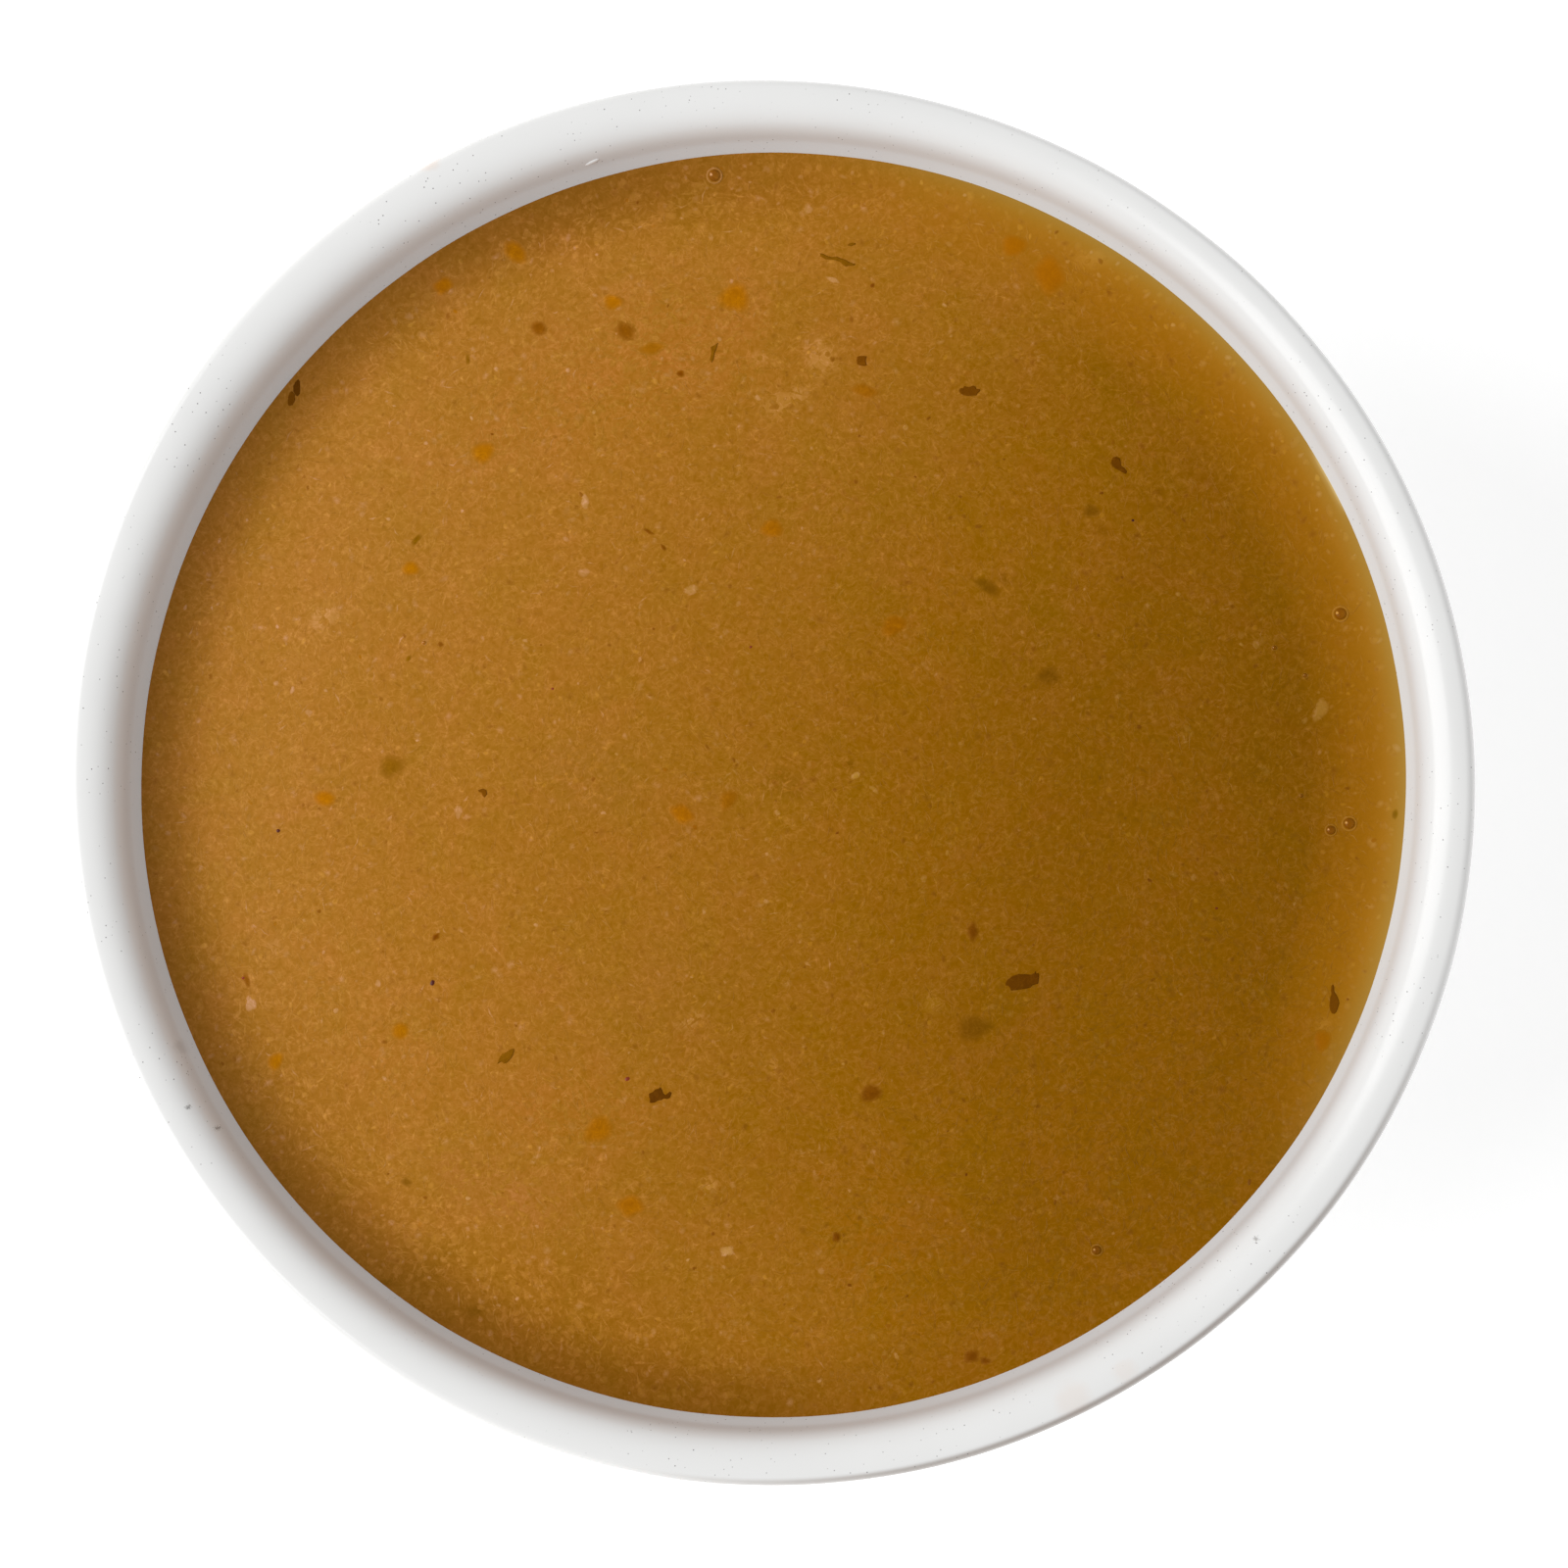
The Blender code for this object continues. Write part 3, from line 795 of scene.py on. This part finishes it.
def makeSoupMaterial(name, constants, bump=False):
    # the soup's colour, times what a bit lying in it does to that colour; on the soup's body
    # the same factors also hold painted shade and a painted highlight
    material, tree, shader = newMaterial(name, constants)
    add = partial(addNode, tree)
    place = placeInMillimetres(tree)
    shade = add("Attribute", attribute_name="shade")
    tint = {0: 1.0, 6: soupColour(tree, place), 7: shade}
    colour = add("Mix", tint, data_type="RGBA", blend_type="MULTIPLY")
    over = add("VectorMath", {0: shade, 1: (1, 1, 1)}, operation="SUBTRACT")
    clotted = add("VectorMath", {0: over, 1: (0, 0, 0)}, operation="MAXIMUM")
    blue = (0, 0, soupColours["clotBlue"])
    colour = add("VectorMath", {0: clotted, 1: blue, 2: colour}, operation="MULTIPLY_ADD")
    tree.links.new(colour, shader.inputs["Base Color"])
    if bump:
        scale = 1 / soupForm["grainSize"]
        grain = add("TexNoise", {"Vector": place, "Scale": scale, "Detail": 3})
        relief = {"Strength": 0.3, "Distance": soupForm["grainDepth"], "Height": grain}
        tree.links.new(add("Bump", relief), shader.inputs["Normal"])
    return material


def makeSoup():
    # Vegetables simmered and blended smooth: wet, cloudy and thick with fine pulp
    surface = {"IOR": 1.34, "Roughness": 0.22, "Specular IOR Level": 0.04}
    blended = makeSoupMaterial("blendedVegetableSoup", surface, bump=True)
    vertices, faces = soupBody()
    soup = addPiece("soup_body", vertices, faces, blended, bodyShade(vertices))
    sharpenRims(soup)
    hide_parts("soup")


makeSoup()
print("soup made")


# Bits that lie in the soup's surface. Each is a low closed lump whose rim has the soup's
# colour, so that it looks wetted in, not laid on.

def newHeap():
    return {"vertices": [], "faces": [], "shade": []}


def addHeap(name, heap, material):
    sharpenRims(addPiece(name, heap["vertices"], heap["faces"], material, heap["shade"]))


def mixShade(name, strength):
    return tuple(max(0.0, 1 + strength * (factor - 1)) for factor in shades[name])


def addRing(heap, x, y, outline, height, shade):
    for dx, dy in outline:
        heap["vertices"].append((x + dx, y + dy, soupHeight(x + dx, y + dy) + height))
        heap["shade"].append(shade)


def closeRings(heap, start, count):
    # faces over rings of count points, whose top and bottom points come last
    bottom = len(heap["vertices"]) - 1
    top = bottom - 1
    last = top - count
    for j in range(count):
        k = (j + 1) % count
        heap["faces"].append((bottom, start + k, start + j))
        heap["faces"].append((last + j, last + k, top))
        for a in range(start, last, count):
            heap["faces"].append((a + j, a + k, a + count + k, a + count + j))


def addLump(heap, x, y, outline, rows, rise, sink, name, strength=1):
    # rows: scale of the outline, share of the rise and share of the strength, from rim to top
    start = len(heap["vertices"])
    for scale, lift, share in rows:
        ring = [(dx * scale, dy * scale) for dx, dy in outline]
        addRing(heap, x, y, ring, rise * lift, mixShade(name, strength * share))
    addRing(heap, x, y, [(0, 0)], rise, mixShade(name, strength))
    addRing(heap, x, y, [(0, 0)], -sink, mixShade(name, strength))
    closeRings(heap, start, len(outline))


def addFlake(heap, x, y, outline, edge, rise, sink, name, rimStrength):
    # a thin torn flake: a rim at the soup, a top set in from it, and a flat underside
    count = len(outline)
    start = len(heap["vertices"])
    inset = []
    for j in range(count):
        before, here, after = (Vector(outline[(j + k) % count]) for k in (-1, 0, 1))
        tangent = (after - before).normalized()
        inset.append(here + Vector((-tangent.y, tangent.x)) * edge)
    addRing(heap, x, y, outline, -sink, mixShade(name, rimStrength))
    addRing(heap, x, y, outline, rise * 0.15, mixShade(name, rimStrength))
    addRing(heap, x, y, inset, rise, mixShade(name, 1.0))
    for a in (start, start + count):
        for j in range(count):
            k = (j + 1) % count
            heap["faces"].append((a + j, a + k, a + count + k, a + count + j))
    heap["faces"].append(tuple(range(start + count * 2, start + count * 3)))
    heap["faces"].append(tuple(reversed(range(start, start + count))))


def roundOutline(length, width, turn, count, unevenness, draw):
    # an oval, counter-clockwise, whose radius wanders
    c, s = cos(radians(turn)), sin(radians(turn))
    phase, lobes = draw.uniform(0, tau), draw.choice((2, 3, 3, 4))
    outline = []
    for step in range(count):
        angle = step * tau / count
        swell = 1 + unevenness * (sin(lobes * angle + phase) + draw.uniform(-0.5, 0.5))
        along, across = length / 2 * cos(angle) * swell, width / 2 * sin(angle) * swell
        outline.append((along * c - across * s, along * s + across * c))
    return outline


def addLumps(heap, bits, form, draw):
    # a lump for each row of a table
    for x, y, length, width, turn, name, *strength in bits:
        size = length * mm, width * mm
        outline = roundOutline(*size, turn, form["count"], form["unevenness"], draw)
        where = heap, x * mm, y * mm, outline
        addLump(*where, form["rows"], form["rise"], form["sink"], name, *strength)


carrotForm = {
    "rise": 0.07 * mm,
    "sink": 0.3 * mm,
    "unevenness": 0.09,
    "count": 26,
    "rows": ((1.3, 0, 0), (1.05, 0.3, 0.45), (0.75, 0.75, 0.9), (0.4, 0.95, 1)),
}

carrotBits = [
    # x, y, length, width (millimetres), turn (degrees), shade
    (26.2, 47.3, 3.2, 2.4, 100, "carrot"), (22.9, 50.1, 2.1, 1.7, 0, "carrot"),
    (-3.3, 45.5, 2.6, 2.4, 0, "carrot"), (-24, 50, 2.3, 1.6, 120, "carrot"),
    (-30.8, 46.9, 1.8, 1.3, 30, "carrot"), (-14.8, 45.2, 1.6, 1.3, 0, "carrot"),
    (-27, 31.1, 2, 1.7, 20, "carrot"), (-33.8, 20.2, 1.5, 1.2, 0, "carrot"),
    (-41.8, -1.4, 1.7, 1.4, 0, "carrot"), (-16, -32.4, 2.6, 2, 40, "carrot"),
    (-13, -39.5, 2.2, 1.7, 0, "carrot"), (-8.2, -3, 2.1, 1.5, -30, "carrot"),
    (-3.9, -1.7, 1.8, 1.3, 50, "ochre"), (-11.1, 40.8, 2.2, 1, 10, "ochre"),
    (8.9, 36.6, 2.2, 1.1, -15, "ochre"), (11.6, 14.5, 2.2, 1.6, 30, "carrot"),
    (0.2, 23.7, 1.9, 1.5, 0, "carrot"), (9.4, -29.1, 1.8, 1.4, 20, "brown"),
    (-21.8, 42.8, 1.4, 1.2, 0, "brown"), (-34.6, -23.2, 1.6, 1.3, 0, "carrot"),
    (-46.3, -26, 1.6, 1.2, 60, "carrot"), (51.2, -24.3, 1.8, 1.3, 80, "carrot"),
]


def makeCarrotBits():
    # carrot cooked soft, rubbed small by the blender: a clear orange without gloss of its own
    surface = {"IOR": 1.36, "Roughness": 0.35, "Specular IOR Level": 0.04}
    heap = newHeap()
    addLumps(heap, carrotBits, carrotForm, random.Random(11))
    addHeap("carrot_bits", heap, makeSoupMaterial("cookedCarrot", surface))


makeCarrotBits()
print("carrot bits made")


herbForm = {
    "rise": 0.09 * mm,
    "sink": 0.2 * mm,
    "edge": 0.08 * mm,
    "rimStrength": 0.7,
    "soft": {
        "rise": 0.05 * mm,
        "sink": 0.2 * mm,
        "unevenness": 0.1,
        "count": 24,
        "rows": ((1.35, 0, 0), (1.05, 0.3, 0.4), (0.7, 0.75, 0.85), (0.35, 1, 1)),
    },
}

herbLeaves = [
    # x, y (millimetres), shade, torn outline: x and y in turn, hundredths of one from there
    (23.5, -18.7, "leaf", (-157, -39, -131, -45, -117, -62, -106, -89, -56, -84, 6, -75, 73, -62,
        95, -39, 142, -26, 153, 6, 155, 45, 149, 75, 128, 68, 120, 92, 110, 74, 84, 60, 28, 64,
        -34, 66, -89, 50, -138, 15, -159, -19)),
    (-10.2, -29.3, "darkLeaf", (-109, -6, -101, -28, -101, -62, -82, -65, -50, -59, -22, -41, 6,
        -39, 34, -26, 62, -28, 86, -19, 97, 6, 104, 34, 84, 41, 62, 22, 45, 10, 26, 24, 15, 56, 0,
        82, -22, 67, -50, 62, -73, 39, -109, 22)),
    (6.9, 49.5, "greenLeaf", (-213, -22, -173, -45, -129, -50, -78, -56, -34, -73, -6, -101, 22,
        -117, 56, -109, 95, -109, 112, -93, 62, -78, 17, -50, -22, -39, -62, -19, -106, -26, -151,
        -15, -190, 6, -224, 11)),
    (7.7, 50.4, "greenLeaf", (-40, -10, -5, -16, 33, 0, 36, 14, 5, 18, -30, 8)),
    (52.2, -20.5, "leaf", (-15, 123, -19, 84, -15, 50, -26, 22, -31, -17, -34, -62, -26, -101,
        -11, -129, 11, -134, 34, -112, 48, -73, 59, -34, 53, -6, 39, 34, 19, 62, 11, 89, 13, 117,
        0, 142)),
    (-24.6, -25.6, "greenLeaf", (-82, -39, -89, -67, -73, -60, -50, -48, -22, -65, 6, -56, 39,
        -22, 59, 11, 70, 50, 67, 73, 39, 70, 6, 50, -22, 34, -45, 26, -67, -6)),
    (18.7, 36.4, "leaf", (-89, -11, -62, -30, -17, -39, 28, -37, 67, -34, 78, -11, 101, 6, 95, 26,
        62, 30, 56, 50, 34, 59, -6, 45, -50, 54, -62, 37, -89, 34, -101, 11)),
    (32.6, 29.3, "leaf", (-73, 26, -59, 0, -34, -22, 0, -39, 34, -62, 67, -75, 78, -50, 50, -17,
        22, 6, 19, 45, 11, 73, -22, 89, -56, 82, -69, 50)),
    (8.9, 39.2, "leaf", (-78, 28, -73, -8, -45, -22, -6, -28, 19, -22, 11, 11, 11, 39, 19, 64, -6,
        67, -50, 69, -73, 59)),
    (-44.6, 37.3, "darkLeaf", (-30, 20, -32, -30, -10, -72, 10, -78, 28, -55, 34, 0, 32, 55, 20,
        80, 2, 68)),
    (-45.1, 36.4, "leaf", (-30, 5, -36, -60, -22, -78, 10, -70, 34, -30, 32, 30, 6, 60, -16, 45)),
    (-26.9, -0.95, "leaf", (-16, 5, -7, -28, 16, -42, 40, -12, 30, 28, 0, 42, -47, 28, -40, 9)),
    (-5.3, 40.3, "greenLeaf", (-30, 55, -22, 0, -34, -60, -20, -95, 2, -60, 12, 0, 30, 45, 42, 95,
        16, 80)),
]

herbSoft = [
    # x, y, length, width (millimetres), turn (degrees), shade, strength: soaked and half sunk
    (20.3, 18.1, 2.4, 1.1, -30, "green", 1), (-13.6, 42.4, 1.9, 1.6, -60, "brown", 1),
    (-33.3, 22.9, 1.2, 0.5, 50, "green", 1.2), (-35.6, 1.6, 2.2, 1.9, 30, "green", 1),
    (-34, -37.3, 1, 0.7, -30, "greenLeaf", 0.8), (18.9, -14.1, 1.6, 0.9, 90, "brown", 1),
    (19, -23, 2.8, 2, 10, "green", 0.9), (18.7, -53.4, 1.3, 1, 20, "brown", 1),
    (20, -53.8, 0.9, 0.6, -15, "brown", 1), (30, 25.1, 1.4, 1.1, 0, "green", 1),
    (26, 9.7, 2, 1.6, 0, "green", 0.85), (58, -3.4, 0.8, 0.5, 90, "green", 1.2),
    (6.2, -42.4, 0.7, 0.9, 0, "brown", 1.2), (-49.1, -18.4, 0.6, 1.2, 15, "brown", 0.9),
    (-31.3, -14.4, 0.8, 0.5, 45, "brown", 1.3), (-8.4, 38.4, 0.7, 0.6, 0, "brown", 1.2),
    (-28.5, 39.9, 0.4, 1, 0, "green", 1), (-11.4, 23.5, 1, 0.3, -30, "brown", 1.1),
    (-10, 22, 0.7, 0.35, -50, "brown", 1.1), (-34, 11.7, 0.7, 0.4, 45, "green", 1.1),
]


def makeHerbFlakes():
    # dried green herb, torn small and simmered dark: a limp wet flake, olive to brown-black
    surface = {"IOR": 1.38, "Roughness": 0.3, "Specular IOR Level": 0.04}
    f = herbForm
    heap = newHeap()
    for x, y, name, outline in herbLeaves:
        torn = [(dx * mm / 100, dy * mm / 100) for dx, dy in zip(outline[::2], outline[1::2])]
        where = heap, x * mm, y * mm, torn
        addFlake(*where, f["edge"], f["rise"], f["sink"], name, f["rimStrength"])
    addLumps(heap, herbSoft, f["soft"], random.Random(5))
    addHeap("herb_flakes", heap, makeSoupMaterial("soakedHerb", surface))


makeHerbFlakes()
print("herb flakes made")


pulpForm = {
    "count": 14200,
    "bold": 0.07,  # share of the crumbs that lie in clear view; the rest are faint
    # least, most and usual, in millimetres
    "boldSize": (0.22, 0.8, 0.36),
    "faintSize": (0.25, 1.1, 0.4),
    "boldStrength": (0.4, 1.4, 0.7),
    "faintStrength": (0.1, 0.8, 0.3),
    "stretch": (1, 2.2, 1.1),
    "names": {"husk": 66, "rose": 16, "ochre": 8, "brown": 10},  # share of each shade
    "boldSides": 7,
    "faintSides": 6,
    "unevenness": 0.1,
    "boldRows": ((1, 0, 0), (0.6, 0.7, 0.8)),
    "faintRows": ((1, 0, 0),),
    "reach": 58.3 * mm,
    "rise": 0.02 * mm,
    "sink": 0.08 * mm,
    "large": {
        "rise": 0.02 * mm,
        "sink": 0.08 * mm,
        "unevenness": 0.12,
        "count": 16,
        "rows": ((1.15, 0, 0), (0.85, 0.7, 0.7), (0.5, 1, 1)),
    },
}

pulpLarge = [
    # x, y, length, width (millimetres), turn (degrees), shade, strength
    (-17.4, 26.4, 0.8, 1.2, 0, "rose", 1), (-7.4, 18, 1.3, 0.9, 0, "rose", 0.9),
    (3.6, 53.8, 0.8, 0.9, 0, "rose", 0.7), (51.2, 6.4, 1.2, 2.1, -25, "rose", 1),
    (5.9, 47.1, 1.25, 0.45, -22, "rose", 1), (-48.7, -20.6, 1, 1.4, 0, "rose", 1),
    (-4, -43.7, 1.3, 0.9, 10, "rose", 1.5), (-17.5, 19.7, 1.1, 0.8, 0, "rose", 0.6),
    (-29.2, -2.7, 0.7, 1.2, 0, "rose", 0.7), (8, 0.5, 1, 0.6, 20, "rose", 1.5),
    (9.7, -0.8, 1.1, 0.4, -40, "rose", 0.9), (45.3, 12.5, 0.7, 0.7, 0, "rose", 0.7),
]


def scatterPlace(reach, draw):
    radius = reach * sqrt(draw.random())
    turn = draw.uniform(0, tau)
    return radius * cos(turn), radius * sin(turn)


def makePulpCrumbs():
    # burst starch grains and bits of white root: chalky pale dots, drowned in the soup
    surface = {"IOR": 1.34, "Roughness": 0.3, "Specular IOR Level": 0.1}
    f = pulpForm
    draw = random.Random(23)
    heap = newHeap()
    for _ in range(f["count"]):
        x, y = scatterPlace(f["reach"], draw)
        kind = "bold" if draw.random() < f["bold"] else "faint"
        size = draw.triangular(*f[kind + "Size"])
        strength = draw.triangular(*f[kind + "Strength"])
        name = draw.choices(list(f["names"]), f["names"].values())[0]
        stretch = draw.triangular(*f["stretch"]) ** 0.5
        length, width, turn = size * stretch * mm, size / stretch * mm, draw.uniform(0, 180)
        outline = roundOutline(length, width, turn, f[kind + "Sides"], f["unevenness"], draw)
        addLump(heap, x, y, outline, f[kind + "Rows"], f["rise"], f["sink"], name, strength)
    addLumps(heap, pulpLarge, f["large"], draw)
    addHeap("pulp_crumbs", heap, makeSoupMaterial("starchyPulp", surface))


makePulpCrumbs()
print("pulp crumbs made")


fibreForm = {
    "count": 13800,
    "length": (0.35, 1.9, 0.7),  # least, most and usual, in millimetres
    "strength": (0.1, 1.3, 0.3),
    "names": {"husk": 66, "rose": 6, "gap": 28},  # share of each shade
    "width": 0.22 * mm,
    "widths": (0.65, 1.35),  # times the width
    "sections": 3,
    "rise": 0.016 * mm,
    "reach": 56.3 * mm,
    "swirlMiddle": (-3.5 * mm, -3.0 * mm),
    "swirlWander": 1.8,  # radians
    "swirlSize": 16 * mm,
    "turn": 0.6,  # spread, radians
    "bend": 0.8,
}


def addFibre(heap, x, y, turn, bend, length, width, name, strength):
    # a limp thread: bright along its ridge, its sides in the soup's own colour
    f = fibreForm
    start = len(heap["vertices"])
    count = f["sections"]
    for section in range(count):
        share = section / (count - 1)
        heading = turn + bend * share
        half = width / 2 * sin(pi * (0.08 + 0.84 * share)) ** 0.6
        glow = strength * sin(pi * share) ** 0.5
        for side, height, own in ((1, 0, 0), (0, f["rise"], glow), (-1, 0, 0)):
            px = x - sin(heading) * half * side
            py = y + cos(heading) * half * side
            heap["vertices"].append((px, py, soupHeight(px, py) + height))
            heap["shade"].append(mixShade(name, own))
        x += cos(heading) * length / (count - 1)
        y += sin(heading) * length / (count - 1)
    for section in range(count - 1):
        a = start + section * 3
        for j in range(3):
            k = (j + 1) % 3
            heap["faces"].append((a + k, a + j, a + 3 + j, a + 3 + k))
    heap["faces"].append((start, start + 1, start + 2))
    heap["faces"].append(tuple(start + (count - 1) * 3 + j for j in (2, 1, 0)))


def makePulpFibres():
    # threads of celery and carrot core, drawn round with the stirring of the soup
    surface = {"IOR": 1.34, "Roughness": 0.3, "Specular IOR Level": 0.1}
    f = fibreForm
    draw = random.Random(37)
    heap = newHeap()
    for _ in range(f["count"]):
        x, y = scatterPlace(f["reach"], draw)
        flow = atan2(y - f["swirlMiddle"][1], x - f["swirlMiddle"][0]) + pi / 2
        flow += noise.noise(Vector((x, y, 0)) / f["swirlSize"]) * f["swirlWander"]
        turn = flow + draw.gauss(0, f["turn"])
        bend = draw.gauss(0, f["bend"])
        length = draw.triangular(*f["length"]) * mm
        strength = draw.triangular(*f["strength"])
        width = f["width"] * draw.uniform(*f["widths"])
        name = draw.choices(list(f["names"]), f["names"].values())[0]
        addFibre(heap, x, y, turn, bend, length, width, name, strength)
    addHeap("pulp_fibres", heap, makeSoupMaterial("vegetableFibre", surface))


makePulpFibres()
print("pulp fibres made")


seedForm = {
    "rise": 0.06 * mm,
    "sink": 0.1 * mm,
    "unevenness": 0.08,
    "count": 10,
    "rows": ((1, 0, 0.5), (0.7, 0.7, 1)),
}

seedSpecks = [
    # x, y, length, width (millimetres), turn (degrees), shade
    (-46.2, -4.4, 0.42, 0.38, 0, "seed"), (-31.6, -18.7, 0.6, 0.45, 70, "seed"),
    (-13.3, -27.7, 0.5, 0.4, 20, "redSeed"), (-49.4, -18.2, 0.4, 0.3, 0, "redSeed"),
    (33.9, 24.2, 0.3, 0.25, 0, "seed"), (-1.8, 12.6, 0.3, 0.25, 40, "redSeed"),
    (41.5, -12, 0.3, 0.22, 0, "redSeed"), (-20.4, 8.8, 0.28, 0.25, 0, "redSeed"),
]


def makeSeedSpecks():
    # crushed pepper skin: dark red-black grains with a dull shine
    surface = {"IOR": 1.45, "Roughness": 0.3, "Specular IOR Level": 0.3}
    heap = newHeap()
    addLumps(heap, seedSpecks, seedForm, random.Random(3))
    addHeap("seed_specks", heap, makeSoupMaterial("crushedPepper", surface))


makeSeedSpecks()
print("seed specks made")


bubbleForm = {
    "film": 0.33,  # radius of the film over the bubble's whole width
    "filmRise": 0.24,  # over the bubble's width
    "collarRise": 0.06,
    "sink": 0.1 * mm,
    "sides": 28,
    "filmShade": (0.76, 0.63, 0.30),
    "litShade": (1.02, 0.95, 0.60),  # the side away from the light, lit through
    "glint": (2.0, 2.6, 9.0),  # the light seen small in the film
    "glintFrom": radians(165),
    "glintPlace": (0.35, 0.75),  # over the film's radius
    "glintEdge": 0.95,  # cosine of half its turn
    # share of the collar's width, share of its rise and of its shade, from outside in
    "collar": ((1.0, 0.0, 0.0), (0.7, 0.9, 1.0), (0.35, 0.9, 0.25), (0.0, 1.0, -0.25)),
}

bubbles = [
    # x, y, width in millimetres
    (-5.2, 57, 1.6), (53.1, 15.3, 1.6), (53.8, -4.2, 1.5), (52.1, -4.8, 1.2), (30.3, -43.6, 1.2),
    (47, 12.2, 0.6), (49.8, 9.6, 0.6), (49.4, -1.6, 0.5), (-32.5, 13.2, 0.5),
]


def addBubble(heap, x, y, width):
    f = bubbleForm
    start = len(heap["vertices"])
    filmRadius = f["film"] * width
    rings = []
    for share, lift, strength in f["collar"]:
        radius = filmRadius + (width / 2 - filmRadius) * share
        rings.append((radius, f["collarRise"] * width * lift, mixShade("collar", strength)))
    for step in range(1, 6):
        tilt = pi / 2 * step / 6
        lift = f["collarRise"] + (f["filmRise"] - f["collarRise"]) * sin(tilt)
        rings.append((filmRadius * cos(tilt), lift * width, None))
    low, high = f["glintPlace"]
    for radius, height, shade in rings:
        for step in range(f["sides"]):
            turn = step * tau / f["sides"]
            px, py = x + radius * cos(turn), y + radius * sin(turn)
            glow = max(0.0, cos(turn)) * radius / filmRadius
            film = tuple(d + glow * (b - d) for d, b in zip(f["filmShade"], f["litShade"]))
            if low < radius / filmRadius < high and cos(turn - f["glintFrom"]) > f["glintEdge"]:
                film = f["glint"]
            heap["vertices"].append((px, py, soupHeight(px, py) + height))
            heap["shade"].append(shade or film)
    addRing(heap, x, y, [(0, 0)], f["filmRise"] * width, f["filmShade"])
    addRing(heap, x, y, [(0, 0)], -f["sink"], f["filmShade"])
    closeRings(heap, start, f["sides"])


def makeBubbles():
    # air under a thin film of soup: a dark glossy dome in a collar that the soup climbs
    surface = {"IOR": 1.34, "Roughness": 0.1, "Specular IOR Level": 0.12}
    heap = newHeap()
    for x, y, width in bubbles:
        addBubble(heap, x * mm, y * mm, width * mm)
    addHeap("bubbles", heap, makeSoupMaterial("soupFilm", surface))


makeBubbles()
print("bubbles made")
